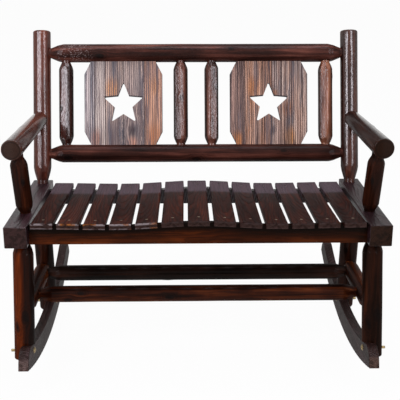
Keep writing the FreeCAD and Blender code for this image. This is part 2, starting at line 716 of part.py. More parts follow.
def nut(seat, outward):
    """A hexagon nut on a washer."""
    block = hexagon_prism(NUT_WIDTH, NUT_HEIGHT)
    top = NUT_WIDTH / 2 - NUT_BEVEL
    block = block.common(Part.makeCone(top + NUT_HEIGHT * NUT_BEVEL_SLOPE, top, NUT_HEIGHT))
    block = block.cut(Part.makeCylinder(BOLT_DIAMETER / 2 + FIT, 3 * NUT_HEIGHT, vec(0, 0, -NUT_HEIGHT)))
    return aim(block, seat + outward * WASHER_THICKNESS, seat + outward * NUT_HEIGHT)


def lag_screw():
    """The lag screw through the post into the end of the arm."""
    under_head = lag_seat + arm_line * WASHER_THICKNESS
    length = (under_head - lag_tip).Length
    point = Part.makeCone(LAG_POINT / 2, LAG_DIAMETER / 2, LAG_DIAMETER, vec(0, 0, -length))
    shank = Part.makeCylinder(LAG_DIAMETER / 2, length - LAG_DIAMETER, vec(0, 0, LAG_DIAMETER - length))
    head = hexagon_prism(LAG_HEAD_WIDTH, LAG_HEAD_HEIGHT)
    return aim(point.fuse(shank).fuse(head).removeSplitter(), under_head, under_head + arm_line)


back_reach = post_x - POST_DIAMETER / 2
lag_seat = post_at_arm + arm_line * (POST_DIAMETER / 2 / math.cos(math.radians(POST_LEAN)) - LAG_RECESS)
lag_tip = post_at_arm - arm_line * (POST_DIAMETER / 2 + LAG_BITE)
bolt_seat_x = leg_x + LEG_DIAMETER / 2 - BOLT_RECESS
front_bolt_seat = vec(bolt_seat_x, front_bolt.y, front_bolt.z)
rear_bolt_seat = vec(bolt_seat_x, rear_bolt.y, rear_bolt.z)

wood = {}
metal = {}

paired = {
    "side_rail": side_rail(),
    "rear_post": rear_post(),
    "arm": arm(),
    "arm_support": arm_support(),
    "front_leg": leg(front_leg_head, front_leg_foot, front_bolt, side_front, side_rear),
    "rear_leg": leg(rear_leg_head, rear_leg_foot, rear_bolt, side_rear, side_front),
    "side_stretcher": side_stretcher(),
    "rocker": rocker(),
}
for name, shape in paired.items():
    wood[name + "_right"] = shape
    wood[name + "_left"] = mirrored(shape)

wood["top_back_rail"] = back_rail(TOP_RAIL_UP, TOP_RAIL_DIAMETER, -1)
wood["lower_back_rail"] = back_rail(LOWER_RAIL_UP, LOWER_RAIL_DIAMETER, 1)
for number, x in enumerate(spindle_places, 1):
    wood["spindle_%d" % number] = spindle(x)
wood["star_panel_left"] = star_panel(-panel_x)
wood["star_panel_right"] = star_panel(panel_x)
wood["front_apron"] = cross_board(apron_y, FIT)
wood["rear_seat_board"] = cross_board(rear_board_y, FIT)
for index in range(SLAT_COUNT):
    wood["seat_slat_%02d" % (index + 1)] = slat(index)
wood["front_cross_stretcher"] = cross_stretcher(FRONT_CROSS_Y)
wood["rear_cross_stretcher"] = cross_stretcher(REAR_CROSS_Y)

metal["rocker_bolts"] = both_sides([rocker_bolt(front_bolt), rocker_bolt(rear_bolt)])
metal["rocker_bolt_washers"] = both_sides([washer(front_bolt_seat, X_AXIS), washer(rear_bolt_seat, X_AXIS)])
metal["rocker_bolt_nuts"] = both_sides([nut(front_bolt_seat, X_AXIS), nut(rear_bolt_seat, X_AXIS)])
metal["arm_lag_screws"] = both_sides([lag_screw()])
metal["arm_lag_washers"] = both_sides([washer(lag_seat, arm_line)])
metal["seat_slat_screws"] = Part.makeCompound([
    place_at(countersunk_screw(SLAT_SCREW_LENGTH), slat_screw_place(index, board_y))
    for index in range(SLAT_COUNT) for board_y in (apron_y, rear_board_y)
])
metal["seat_board_screws"] = Part.makeCompound([
    place_at(countersunk_screw(BOARD_SCREW_LENGTH), place)
    for board_y in (apron_y, rear_board_y) for place in board_screw_places(board_y, BOTH_SIDES)
])


# The lean at which the bench balances on its rockers: its centre of mass comes to lie under the
# centre of the rockers' arc.
total = 0.0
moment = vec(0, 0, 0)
for group, density in ((wood, WOOD_DENSITY), (metal, STEEL_DENSITY)):
    for shape in group.values():
        for solid in shape.Solids:
            total += solid.Volume * density
            moment += solid.CenterOfMass * (solid.Volume * density)
balance = moment * (1 / total)
rest_lean = math.degrees(math.atan2(balance.y - rocker_center.y, rocker_center.z - balance.z))
leaned = FreeCAD.Placement(vec(0, 0, 0), FreeCAD.Rotation(X_AXIS, -rest_lean),
                           vec(0, rocker_center.y, rocker_center.z))

pieces = dict(wood, **metal)
box = Part.makeCompound([shape.transformed(leaned.toMatrix(), copy=True)
                         for shape in pieces.values()]).optimalBoundingBox(False, False)
shift = FreeCAD.Placement(vec(0, -(box.YMin + box.YMax) / 2, -box.ZMin), FreeCAD.Rotation())
world = shift * leaned

os.makedirs("parts", exist_ok=True)
for name, shape in pieces.items():
    shape.transformed(world.toMatrix(), copy=True).exportStep("parts/" + name + ".step")

print("nodes", len(pieces), "solids", sum(len(shape.Solids) for shape in pieces.values()))
print("rest lean", round(rest_lean, 2), "balance", balance, "mass", round(total * 1e-9, 2))
print("box", round(box.XLength, 1), round(box.YLength, 1), round(box.ZLength, 1))
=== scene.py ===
import logging
import math
from collections.abc import Callable
from dataclasses import dataclass, replace
from enum import Enum

import bmesh
import bpy
from mathutils import Euler, Matrix, Vector, noise


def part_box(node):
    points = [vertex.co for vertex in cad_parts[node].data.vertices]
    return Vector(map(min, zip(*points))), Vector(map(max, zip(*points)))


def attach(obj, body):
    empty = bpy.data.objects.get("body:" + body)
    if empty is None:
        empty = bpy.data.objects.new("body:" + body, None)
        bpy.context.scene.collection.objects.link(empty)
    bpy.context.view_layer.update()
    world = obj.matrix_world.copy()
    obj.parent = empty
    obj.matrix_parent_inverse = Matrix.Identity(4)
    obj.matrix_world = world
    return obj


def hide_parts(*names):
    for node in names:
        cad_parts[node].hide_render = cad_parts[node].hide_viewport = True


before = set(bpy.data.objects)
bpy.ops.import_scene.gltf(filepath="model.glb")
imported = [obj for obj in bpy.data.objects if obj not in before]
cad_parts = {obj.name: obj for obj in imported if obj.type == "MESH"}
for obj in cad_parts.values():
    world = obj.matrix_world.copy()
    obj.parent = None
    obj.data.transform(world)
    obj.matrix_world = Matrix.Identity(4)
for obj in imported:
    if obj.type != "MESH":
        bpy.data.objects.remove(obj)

LOG = logging.getLogger("rocking_bench")

UP = Vector((0.0, 0.0, 1.0))
FRONT = Vector((0.0, -1.0, 0.0))
RIGHT = Vector((1.0, 0.0, 0.0))

LOG_TONES = (0.36, 0.44, 0.50, 0.57, 0.66)
DULL_TONES = (0.38, 0.45, 0.50, 0.55, 0.63)
BOARD_TONES = (0.36, 0.50, 0.64)
PANEL_TONES = (0.40, 0.47, 0.53, 0.60)

Stops = tuple[tuple[float, str], ...]


def linear(code: str) -> tuple[float, float, float, float]:
    """Turn a colour as it is seen on a screen into the renderer's own units.

    Args:
        code: Six hexadecimal digits after a hash sign.

    Returns:
        Red, green, blue and full opacity.
    """
    parts = [int(code[i:i + 2], 16) / 255 for i in (1, 3, 5)]
    red, green, blue = (c / 12.92 if c <= 0.04045 else ((c + 0.055) / 1.055) ** 2.4 for c in parts)
    return red, green, blue, 1.0


def stops(codes: str, tones: tuple[float, ...] = LOG_TONES) -> Stops:
    """Pair colour codes, from dark to light, with the tones that they stand for."""
    return tuple(zip(tones, codes.split()))


def grain_frame(start: Vector, along: Vector, facing: Vector) -> Matrix:
    """Make the axes in which a piece of timber is patterned.

    Args:
        start: Origin of the axes, on the piece.
        along: Direction of the grain, which becomes z.
        facing: Side of the piece that becomes x, as nearly as the grain allows.

    Returns:
        The matrix from those axes to the row frame.
    """
    z_axis = along.normalized()
    x_axis = (facing - z_axis * facing.dot(z_axis)).normalized()
    turn = Matrix((x_axis, z_axis.cross(x_axis), z_axis)).transposed()
    return Matrix.Translation(start) @ turn.to_4x4()


class Signal:
    """A value that runs through a node tree. Arithmetic on it adds nodes."""

    def __init__(self, w: "Wiring", socket: bpy.types.NodeSocket) -> None:
        """Follow one output of a node."""
        self.w = w
        self.socket = socket

    def __add__(self, other: "Value") -> "Signal":
        """The sum of two values."""
        return self.w.math("ADD", self, other)

    def __sub__(self, other: "Value") -> "Signal":
        """This value less another."""
        return self.w.math("SUBTRACT", self, other)

    def __rsub__(self, other: "Value") -> "Signal":
        """Another value less this one."""
        return self.w.math("SUBTRACT", other, self)

    def __mul__(self, other: "Value") -> "Signal":
        """The product of two values."""
        return self.w.math("MULTIPLY", self, other)

    def __truediv__(self, other: "Value") -> "Signal":
        """This value divided by another."""
        return self.w.math("DIVIDE", self, other)

    def __abs__(self) -> "Signal":
        """The value without its sign."""
        return self.w.math("ABSOLUTE", self)

    def peak(self, other: "Value") -> "Signal":
        """The larger of two values."""
        return self.w.math("MAXIMUM", self, other)

    def length(self) -> "Signal":
        """The length of a vector."""
        return self.w.math("LENGTH", self)

    def axes(self) -> dict[str, "Signal"]:
        """The X, Y and Z of a place."""
        return self.w.outputs("SeparateXYZ", {0: self})

    def remap(self, low: float, high: float, to_low: float = 0.0, to_high: float = 1.0) -> "Signal":
        """Spread a range of values evenly over another range."""
        return self.w.add("MapRange", {"Value": self, "From Min": low, "From Max": high,
                                       "To Min": to_low, "To Max": to_high}, clamp=True)

    def smooth(self, low: float, high: float) -> "Signal":
        """Rise softly from 0 to 1 between two values."""
        return self.w.add("MapRange", {"Value": self, "From Min": low, "From Max": high},
                          interpolation_type="SMOOTHSTEP")

    def band(self, middle: float, half: float, soft: float) -> "Signal":
        """1 within a distance of a middle value, falling softly to 0 outside it."""
        return 1.0 - abs(self - middle).smooth(half, half + soft)

    def under(self, *coats: tuple["Value", "Value"]) -> "Signal":
        """Lay other colours over this one in turn.

        Args:
            coats: Share and colour of each.

        Returns:
            The colour that shows.
        """
        colour = self
        for share, coat in coats:
            colour = self.w.mix(share, colour, coat)
        return colour


Value = float | str | tuple[float, ...] | Vector | Signal
Outputs = dict[str, Signal]


class Wiring:
    """Adds nodes to one node tree and joins them."""

    def __init__(self, tree: bpy.types.NodeTree) -> None:
        """Start on a tree."""
        self.tree = tree

    def feed(self, target: bpy.types.NodeSocket, value: Value) -> None:
        """Link a signal to an input, or let the input hold a value.

        Args:
            target: The input.
            value: A signal, a number, a vector or a colour code.
        """
        if isinstance(value, Signal):
            self.tree.links.new(value.socket, target)
        else:
            target.default_value = linear(value) if isinstance(value, str) else value

    def node(self, kind: str, inputs: dict[str | int, Value], **settings: object) -> bpy.types.Node:
        """Add a node.

        Args:
            kind: Node type without its ShaderNode prefix.
            inputs: What each input holds or is linked to.
            settings: Properties of the node itself.

        Returns:
            The new node.
        """
        node = self.tree.nodes.new("ShaderNode" + kind)
        for key, value in settings.items():
            setattr(node, key, value)
        for key, value in inputs.items():
            self.feed(node.inputs[key], value)
        return node

    def add(self, kind: str, inputs: dict[str | int, Value] | None = None, output: str | int = 0,
            **settings: object) -> Signal:
        """Add a node and follow one of its outputs."""
        return Signal(self, self.node(kind, inputs or {}, **settings).outputs[output])

    def outputs(self, kind: str, inputs: dict[str | int, Value], **settings: object) -> Outputs:
        """Add a node and follow all its outputs."""
        return {socket.name: Signal(self, socket) for socket in self.node(kind, inputs, **settings).outputs}

    def math(self, operation: str, *values: Value) -> Signal:
        """Combine numbers, or vectors where one of the values is a vector.

        Args:
            operation: Name of the operation, as the node has it.
            values: What is combined.

        Returns:
            The result.
        """
        kinds = [value.socket.type if isinstance(value, Signal) else type(value) for value in values]
        kind = "VectorMath" if "VECTOR" in kinds or tuple in kinds else "Math"
        output = 1 if operation in ("LENGTH", "DOT_PRODUCT") else 0
        return self.add(kind, dict(enumerate(values)), output, operation=operation)

    def noise(self, place: Signal, detail: float = 3.0, roughness: float = 0.55,
              distortion: float = 0.0) -> Signal:
        """Cloudy noise over a place that is already scaled."""
        return self.add("TexNoise", {"Vector": place, "Scale": 1.0, "Detail": detail, "Roughness": roughness,
                                     "Distortion": distortion})

    def mix(self, share: Value, first: Value, second: Value, blend: str = "MIX") -> Signal:
        """Lay a share of a second colour over a first."""
        return self.add("Mix", {0: share, 6: first, 7: second}, 2, data_type="RGBA", blend_type=blend)

    def ramp(self, value: Signal, colours: Stops, steps: bool = False) -> Signal:
        """Colour a value by several stops.

        Args:
            value: The value.
            colours: The stops, each a value and its colour.
            steps: Whether the colours change in clean steps.

        Returns:
            The colour.
        """
        node = self.node("ValToRGB", {0: value})
        node.color_ramp.interpolation = "CONSTANT" if steps else "LINEAR"
        elements = node.color_ramp.elements
        while len(elements) < len(colours):
            elements.new(1.0)
        for element, (position, code) in zip(elements, colours):
            element.position = position
            element.color = linear(code)
        return Signal(self, node.outputs[0])

    def squareness(self, axis: Value) -> Signal:
        """How squarely the surface faces along an axis, either way."""
        return abs(self.math("DOT_PRODUCT", self.add("NewGeometry", output="Normal"), axis))


def wiring_of(owner: bpy.types.Material | bpy.types.World) -> Wiring:
    """Start on the emptied node tree of a material or a world.

    Args:
        owner: The material or the world.

    Returns:
        Its wiring.
    """
    owner.use_nodes = True
    owner.node_tree.nodes.clear()
    return Wiring(owner.node_tree)


@dataclass(frozen=True)
class Knot:
    """A knot in a log: its share of the length, its angle from the facing side and its size."""

    along: float
    around: float
    size: float


@dataclass(frozen=True)
class Gloss:
    """How a finish shines, and how deep its relief is.

    body is the shine of the wood itself. The lacquer is multiplied by end_coat on end grain, and by
    rim where the surface is seen at a glancing angle.
    """

    roughness: float
    coat: float
    coat_roughness: float
    relief: float
    body: float = 0.05
    end_coat: float = 0.25
    rim: float = 0.25


class Figure:
    """The node groups that draw the growth of the timber, made once and shared by all finishes.

    A noise is stretched by its three scales: twice across the grain, then along it, per metre.
    """

    def __init__(self) -> None:
        """Build the groups."""
        self.knot = self._group("knot", "Vector Centre", "Size", self._knot)
        self.log = self._group("peeled_log", "Vector Seed Axis", "", self._log)
        self.board = self._group("sawn_board", "Vector Seed Pith Axis", "Rings Drift", self._board)

    @staticmethod
    def _group(name: str, vectors: str, numbers: str,
               draw: Callable[[Wiring, Outputs], Outputs]) -> bpy.types.NodeTree:
        """Make a node group.

        Args:
            name: Its name.
            vectors: Names of the inputs that are vectors.
            numbers: Names of the inputs that are numbers.
            draw: Turns the inputs into the outputs, by their names.

        Returns:
            The group.
        """
        tree = bpy.data.node_groups.new(name, "ShaderNodeTree")
        for labels, kind in ((vectors, "NodeSocketVector"), (numbers, "NodeSocketFloat")):
            for label in labels.split():
                tree.interface.new_socket(label, in_out="INPUT", socket_type=kind)
        w = Wiring(tree)
        source = tree.nodes.new("NodeGroupInput")
        results = draw(w, {socket.name: Signal(w, socket) for socket in source.outputs})
        for label, signal in results.items():
            kind = "NodeSocketVector" if signal.socket.type == "VECTOR" else "NodeSocketFloat"
            tree.interface.new_socket(label, in_out="OUTPUT", socket_type=kind)
        target = tree.nodes.new("NodeGroupOutput")
        for label, signal in results.items():
            w.feed(target.inputs[label], signal)
        return tree

    @staticmethod
    def _knot(w: Wiring, given: Outputs) -> Outputs:
        """Draw a knot: the grain is pushed aside round it, and it has a dark heart with rings.

        Args:
            w: Wiring of the group.
            given: A point, the knot's centre and its size.

        Returns:
            The point pushed aside, the heart and the rings.
        """
        away = given["Vector"] - given["Centre"]
        wobble = w.noise(given["Vector"] * (90.0, 90.0, 60.0), 2.0)
        reach = (away * (1.0, 1.0, 0.55)).length() * (wobble * 0.7 + 0.65) / given["Size"]
        near = 1.0 - reach.smooth(0.3, 3.0)
        return {"Vector": given["Vector"] + away * (near * -0.62) * (1.0, 1.0, 0.1),
                "Mask": 1.0 - reach.smooth(0.25, 1.25),
                "Rings": near * (w.math("SINE", reach * 11.0) * 0.5 + 0.5)}

    @staticmethod
    def _log(w: Wiring, given: Outputs) -> Outputs:
        """Draw the skin of a peeled log, and rings on its ends.

        Args:
            w: Wiring of the group.
            given: A point, the log's seed and the direction of its grain.

        Returns:
            Tone, fibres, blotches, waves and grit of the skin, where the ends are, and their rings.
        """
        place = given["Vector"] + given["Seed"]
        streak = w.noise(place * (24.0, 24.0, 1.7), 5.0, 0.6, distortion=0.4)
        middle = w.noise(place * (95.0, 95.0, 4.5), 4.0, 0.55)
        fibre = w.noise(place * (430.0, 430.0, 12.0), 3.0, 0.5)
        blotch = w.noise(place * (15.0, 15.0, 6.5), 4.0, 0.6)
        ripple = w.noise(place * (120.0, 120.0, 10.0), 2.0)
        radius = (given["Vector"] * (1.0, 1.0, 0.0)).length() + ripple * 0.0035
        return {"Tone": streak * 0.42 + middle * 0.30 + fibre * 0.10 + blotch * 0.18,
                "Fibre": fibre,
                "Blotch": blotch,
                "Wave": w.noise(place * (38.0, 38.0, 13.0), 3.0, 0.5),
                "Grit": w.noise(place * (330.0, 330.0, 110.0), 2.0, 0.6),
                "End": w.squareness(given["Axis"]).smooth(0.75, 0.95),
                "Ring": w.math("FRACT", radius * 330.0)}

    @staticmethod
    def _board(w: Wiring, given: Outputs) -> Outputs:
        """Draw a sawn board: growth rings about a pith beside the board, which show as flames on
        its faces and as arcs on its ends.

        Args:
            w: Wiring of the group.
            given: A point, the board's seed, its pith and grain, and how close and how wavy its rings are.

        Returns:
            Late wood, fibres, blotches and streaks, where the ends are, and the board's own seed.
        """
        place = given["Vector"] + given["Seed"]
        drift = w.noise(place * (9.0, 9.0, 2.6), 3.0, 0.5)
        jitter = w.noise(place * (80.0, 80.0, 7.0), 3.0, 0.5)
        away = (given["Vector"] - given["Pith"]) * (1.0, 1.0, 0.0)
        radius = away.length() + drift * given["Drift"] + jitter * 0.0016
        ring = w.math("FRACT", radius * given["Rings"])
        return {"Late": ring.smooth(0.25, 0.85) * (1.0 - ring.smooth(0.90, 1.0)),
                "Fibre": w.noise(place * (520.0, 520.0, 9.0), 3.0, 0.55),
                "Blotch": w.noise(place * (16.0, 16.0, 5.0), 4.0, 0.6),
                "Streak": w.noise(place * (60.0, 60.0, 2.2), 4.0, 0.6),
                "End": w.squareness(given["Axis"]).smooth(0.75, 0.95),
                "Own": given["Seed"]}


@dataclass(frozen=True)
class TimberFinish:
    """What all timber finishes share: a name, a gloss, knots and the way to start and end a material."""

    name: str
    gloss: Gloss

    def begin(self, piece: str, place: Matrix) -> tuple[bpy.types.Material, Wiring, Signal]:
        """Open a material whose pattern follows a piece's grain.

        Args:
            piece: Name of the piece that wears it.
            place: Matrix from the piece's grain axes to the row frame.

        Returns:
            The material, its wiring and the point in grain axes.
        """
        material = bpy.data.materials.new(f"{self.name}_{piece}")
        w = wiring_of(material)
        inverse = place.inverted()
        return material, w, w.add("Mapping", {"Vector": w.add("TexCoord", output="Object"),
                                              "Location": inverse.translation,
                                              "Rotation": inverse.to_euler("XYZ")})

    @staticmethod
    def knotted(w: Wiring, figure: Figure, point: Signal,
                knots: tuple[tuple[Value, float], ...]) -> tuple[Signal, Value, Value]:
        """Set knots into the grain.

        Args:
            w: Wiring of the material.
            figure: Shared timber figure.
            point: Point in grain axes.
            knots: Centre and size of each knot.

        Returns:
            The point as the knots push it aside, their hearts and their rings.
        """
        mask: Value = 0.0
        rings: Value = 0.0
        for centre, size in knots:
            knot = w.outputs("Group", {"Vector": point, "Centre": centre, "Size": size},
                             node_tree=figure.knot)
            point = knot["Vector"]
            mask = knot["Mask"].peak(mask)
            rings = knot["Rings"].peak(rings)
        return point, mask, rings

    def close(self, w: Wiring, colour: Signal, roughness: Signal, height: Signal, end: Signal,
              shine: Value = 1.0) -> None:
        """End a material in a lacquered wood shader.

        Args:
            w: Wiring of the material.
            colour: Colour of the stained wood.
            roughness: Roughness of the wood under the lacquer.
            height: Relief in shares of the gloss's own relief.
            end: 1 where the grain ends, which takes the lacquer in its own way.
            shine: Share of the lacquer that is left on the surface.
        """
        gloss = self.gloss
        bump = w.add("Bump", {"Height": height, "Strength": 1.0, "Distance": gloss.relief})
        coat = end.remap(0.0, 1.0, gloss.coat, gloss.coat * gloss.end_coat)
        rim = w.add("LayerWeight", {"Blend": 0.5}, "Facing").remap(0.25, 0.75, 1.0, gloss.rim)
        shader = w.add("BsdfPrincipled", {
            "Base Color": colour, "Roughness": roughness, "Normal": bump, "Coat Normal": bump,
            "Specular IOR Level": gloss.body, "Coat Weight": coat * rim * shine,
            "Coat Roughness": gloss.coat_roughness, "Coat IOR": 1.5, "IOR": 1.45})
        w.node("OutputMaterial", {0: shader})


@dataclass(frozen=True)
class LogFinish(TimberFinish):
    """Dark stain and gloss lacquer over a peeled log.

    skin colours it from its darkest to its lightest streaks; heart colours knots, and also the painted
    shade on a dark side and on dark edges. A dark or dull side is a share, above 0 on the side of y and
    below 0 on the other one. flecked is the height of the middle of a stretch of pale flecks, partly
    scars and partly painted glints, and half its length.
    """

    skin: Stops
    heart: str = "#0a0504"
    end_light: str = "#3a2418"
    end_dark: str = "#140a07"
    grit: float = 0.10
    speckle: float = 0.3
    dark_side: float = 0.0
    dark_edges: float = 0.0
    dull_foot: float = 0.0
    dull_side: float = 0.0
    fleck: str = "#94827f"
    flecked: tuple[float, float] = (0.0, 0.0)

    def material(self, figure: Figure, stick: "PeeledLog") -> bpy.types.Material:
        """Make the material of one log.

        Args:
            figure: Shared timber figure.
            stick: The log that wears it.

        Returns:
            The material.
        """
        material, w, plain = self.begin(stick.name, stick.place)
        radius = stick.diameter / 2
        point, mask, rings = self.knotted(w, figure, plain, stick.knot_centres())
        seed = (stick.seed * 1.37, stick.seed * 0.61, stick.seed * 2.03)
        out = w.outputs("Group", {"Vector": point, "Seed": seed, "Axis": stick.place.col[2].to_3d()},
                        node_tree=figure.log)
        colour = self._darkened(plain, out, w.ramp(out["Tone"] - rings * 0.05, self.skin), radius)
        colour = colour.under((out["End"], self._cut(w, plain, out, radius)), (mask * 0.85, self.heart))
        axes = plain.axes()
        # Pale flecks: partly scars in the skin, partly painted glints.
        if self.flecked[1]:
            spots = w.noise(plain * (300.0, 300.0, 240.0), 1.0, 0.5)
            stretch = axes["Z"].band(*self.flecked, 0.03) * 0.6
            colour = colour.under((spots.smooth(0.58, 0.68) * stretch, self.fleck))
        roughness = out["Fibre"] * 0.22 + self.gloss.roughness + out["End"] * 0.15
        height = out["Wave"] * 0.75 + out["Fibre"] * 0.07 + out["Grit"] * self.grit
        height = height - mask * 0.35 - out["Ring"] * out["End"] * 0.15
        shine = out["Grit"].remap(0.40, 0.58, 1.0 - self.speckle, 1.0)
        if self.dull_foot:
            shine = shine * axes["Z"].remap(0.0, self.dull_foot, 0.3, 1.0)
        if self.dull_side:
            side = axes["Y"] * math.copysign(1.0, self.dull_side)
            shine = shine * side.remap(-0.004, 0.010, 1.0, 1.0 - abs(self.dull_side))
        self.close(w, colour, roughness, height, out["End"], shine)
        return material

    def _darkened(self, plain: Signal, out: Outputs, colour: Signal, radius: float) -> Signal:
        """Paint shade on one side, or on both edges, of the log.

        Args:
            plain: Point in grain axes.
            out: What the timber figure gives.
            colour: Colour so far.
            radius: Radius of the log.

        Returns:
            The colour with its painted shade.
        """
        across = plain.axes()["Y"]
        # Painted shade over one side of the log.
        if self.dark_side:
            side = across * math.copysign(1.0, self.dark_side)
            shade = (side + out["Blotch"] * 0.030).smooth(0.007, 0.022)
            colour = colour.under((shade * abs(self.dark_side), self.heart))
        # Painted shade along both edges of the log, as seen from its facing side.
        if self.dark_edges:
            shade = (abs(across) + out["Blotch"] * 0.008).smooth(radius * 0.72, radius * 1.04)
            colour = colour.under((shade * self.dark_edges, self.heart))
        return colour

    def _cut(self, w: Wiring, plain: Signal, out: Outputs, radius: float) -> Signal:
        """Colour the end grain: rings, a pale rim of sapwood and a dark line inside it.

        Args:
            w: Wiring of the material.
            plain: Point in grain axes.
            out: What the timber figure gives.
            radius: Radius of the log.

        Returns:
            The colour of the ends.
        """
        from_pith = (plain * (1.0, 1.0, 0.0)).length()
        sap = from_pith.smooth(radius * 0.82, radius * 0.94)
        sap_line = from_pith.band(radius * 0.76, radius * 0.03, radius * 0.06)
        rings = w.mix(out["Ring"].smooth(0.35, 0.9), self.end_light, self.end_dark)
        return rings.under((out["Blotch"] * 0.7, self.end_dark), (sap * 0.5, self.end_light),
                           (sap_line * 0.65, self.end_dark))


@dataclass(frozen=True)
class BoardFinish(TimberFinish):
    """Dark stain over a sawn board, with its flames, fibres and the marks of the saw."""

    early: Stops
    late: str
    rings: float = 210.0
    late_share: float = 0.6
    saw_marks: float = 0.0
    drift: float = 0.045
    end_light: str = "#2b1c16"
    end_dark: str = "#160d09"

    def material(self, figure: Figure, piece: str, place: Matrix, seed: int,
                 pith: Vector) -> bpy.types.Material:
        """Make the material of one board.

        Args:
            figure: Shared timber figure.
            piece: Name of the board.
            place: Matrix from the board's grain axes to the row frame.
            seed: Number that sets this board's own pattern.
            pith: Where the middle of the tree was, in grain axes.

        Returns:
            The material.
        """
        material, w, point = self.begin(piece, place)
        out = w.outputs("Group", {
            "Vector": point, "Seed": (seed * 0.83, seed * 1.71, seed * 0.47), "Pith": pith,
            "Axis": place.col[2].to_3d(), "Rings": self.rings, "Drift": self.drift}, node_tree=figure.board)
        tone = out["Streak"] * 0.45 + out["Blotch"] * 0.35 + out["Fibre"] * 0.20
        cut = w.mix(out["Late"] * out["Blotch"].remap(0.3, 0.7), self.end_light, self.end_dark)
        patch = w.noise(point * (75.0, 75.0, 75.0), 3.0, 0.65)
        cut = cut.under((patch.smooth(0.44, 0.60) * 0.75, self.end_dark))
        colour, shine = self.detail(w, point, out, w.ramp(tone, self.early).under(
            (out["Late"] * self.late_share, self.late), (out["End"], cut)))
        height = out["Late"] * 0.45 + out["Fibre"] * 0.25 + out["Blotch"] * 0.8
        if self.saw_marks:
            saw = w.add("TexWave", {"Vector": point * (55.0, 55.0, 250.0), "Scale": 0.33, "Distortion": 2.2,
                                    "Detail": 2.0, "Detail Scale": 0.8}, 1, bands_direction="DIAGONAL")
            sawn = (1.0 - out["End"]) * out["Blotch"].smooth(0.30, 0.55)
            valley = (1.0 - saw.smooth(0.25, 0.75)) * sawn
            height = height - valley * self.saw_marks
            shine = valley.remap(0.0, 1.0, 1.0, 0.35)
            # Painted shade in the valleys of the saw marks.
            colour = colour.under((valley * 0.4, self.late))
        self.close(w, colour, out["Fibre"] * 0.25 + self.gloss.roughness, height, out["End"], shine)
        return material

    def detail(self, w: Wiring, point: Signal, out: Outputs, colour: Signal) -> tuple[Signal, Value]:
        """Add what only some boards have.

        Args:
            w: Wiring of the material; not used here.
            point: Point in grain axes; not used here.
            out: What the timber figure gives; not used here.
            colour: Colour so far.

        Returns:
            Colour with the detail, and the share of the lacquer that is left.
        """
        return colour, 1.0


@dataclass(frozen=True)
class SlatFinish(BoardFinish):
    """A seat slat, with a painted sheen over its rear, painted shade along its crease and over its front
    face, and painted highlights mixed with bare wood along its front arris.
    """

    # Colour and span of the painted sheen over the rear.
    veil: str = "#54474f"
    veil_span: tuple[float, float] = (0.335, 0.365)
    # Where the painted shade line along the crease runs.
    crease: float = 0.346
    # Colour of the painted highlights on the front arris, colour of the bare wood in them, and the share of
    # both.
    worn: str = "#857c7c"
    bare: str = "#8c5629"
    rub: float = 0.85

    def detail(self, w: Wiring, point: Signal, out: Outputs, colour: Signal) -> tuple[Signal, Value]:
        """Paint a sheen over the rear, shade along the crease and over the front face, and highlights
        mixed with bare wood here and there along the front arris.

        Args:
            w: Wiring of the material.
            point: Point in grain axes.
            out: What the timber figure gives.
            colour: Colour so far.

        Returns:
            Colour with the wear, and the share of the lacquer that is left.
        """
        axes = point.axes()
        # Painted sheen over the rear of the slat.
        veil = (axes["Z"] + out["Blotch"] * 0.03).smooth(*self.veil_span)
        veil = veil * out["Fibre"].remap(0.3, 0.7, 0.3, 0.75)
        # Painted shade line along the crease.
        crease = axes["Z"].band(self.crease, 0.0004, 0.0012) * out["Blotch"].smooth(0.38, 0.55)
        ahead = 1.0 - axes["Z"].smooth(0.0025, 0.0050)
        # Painted shade over the front face.
        nose = ahead * axes["X"].smooth(-0.020, -0.001)
        # Painted highlights along the top and the bottom arris of the front face.
        low = axes["X"].band(-0.0122, 0.0007, 0.0016) * 0.55
        arris = axes["X"].band(-0.0004, 0.0016, 0.0014).peak(low)
        spots = w.noise(point * (70.0, 55.0, 70.0) + out["Own"], 3.0, 0.65)
        # Painted highlight and bare wood in patches along the arris.
        lit_and_bare = ahead * arris * spots.smooth(0.38, 0.52)
        tone = w.mix(out["Blotch"].smooth(0.54, 0.64), self.worn, self.bare)
        # Lay on the painted sheen, the painted shade of the crease and the front face, and the arris marks.
        colour = colour.under((veil, self.veil), (crease * 0.7, self.late), (nose * 0.30, self.late),
                              (lit_and_bare * self.rub, tone))
        return colour, nose.remap(0.0, 0.6, 1.0, 0.15)


@dataclass(frozen=True)
class ApronFinish(BoardFinish):
    """The front apron, with a painted shadow of the slats along the wavy edge that they sit on."""

    # The wave of the top edge, and how deep the painted shadow reaches under it.
    half: float = 0.473
    crest: float = 0.010
    lift: float = 0.0035
    trough: float = 0.230
    depth: float = 0.013

    def detail(self, w: Wiring, point: Signal, out: Outputs, colour: Signal) -> tuple[Signal, Value]:
        """Paint the slats' shadow along the wavy edge, whose height follows the seat, and darken the apron
        towards its right end.

        Args:
            w: Wiring of the material.
            point: Point in grain axes.
            out: What the timber figure gives; not used here.
            colour: Colour so far.

        Returns:
            Colour with the dark edge, and the share of the lacquer that is left.
        """
        axes = point.axes()
        away = abs(axes["Z"] - self.half)
        inner = w.math("COSINE", w.math("MINIMUM", away, self.trough) * (math.pi / self.trough))
        outside = (away - self.trough).peak(0.0)
        outer = w.math("COSINE", outside * (math.pi / (self.half - self.trough)))
        below = axes["Y"] + (inner * (self.crest / 2) - outer * (self.lift / 2))
        sway = w.noise(point * (0.0, 60.0, 9.0), 2.0)
        # Painted shadow of the slats along the top edge.
        shade = (below + sway * 0.020).smooth(-0.006, 0.006 + self.depth)
        # Darker towards the right end, then the painted shadow.
        return colour.under((axes["Z"].remap(0.62, 0.90, 0.0, 0.45), self.late),
                            (shade.remap(0.0, 1.0, 0.92, 0.0), self.late)), 1.0


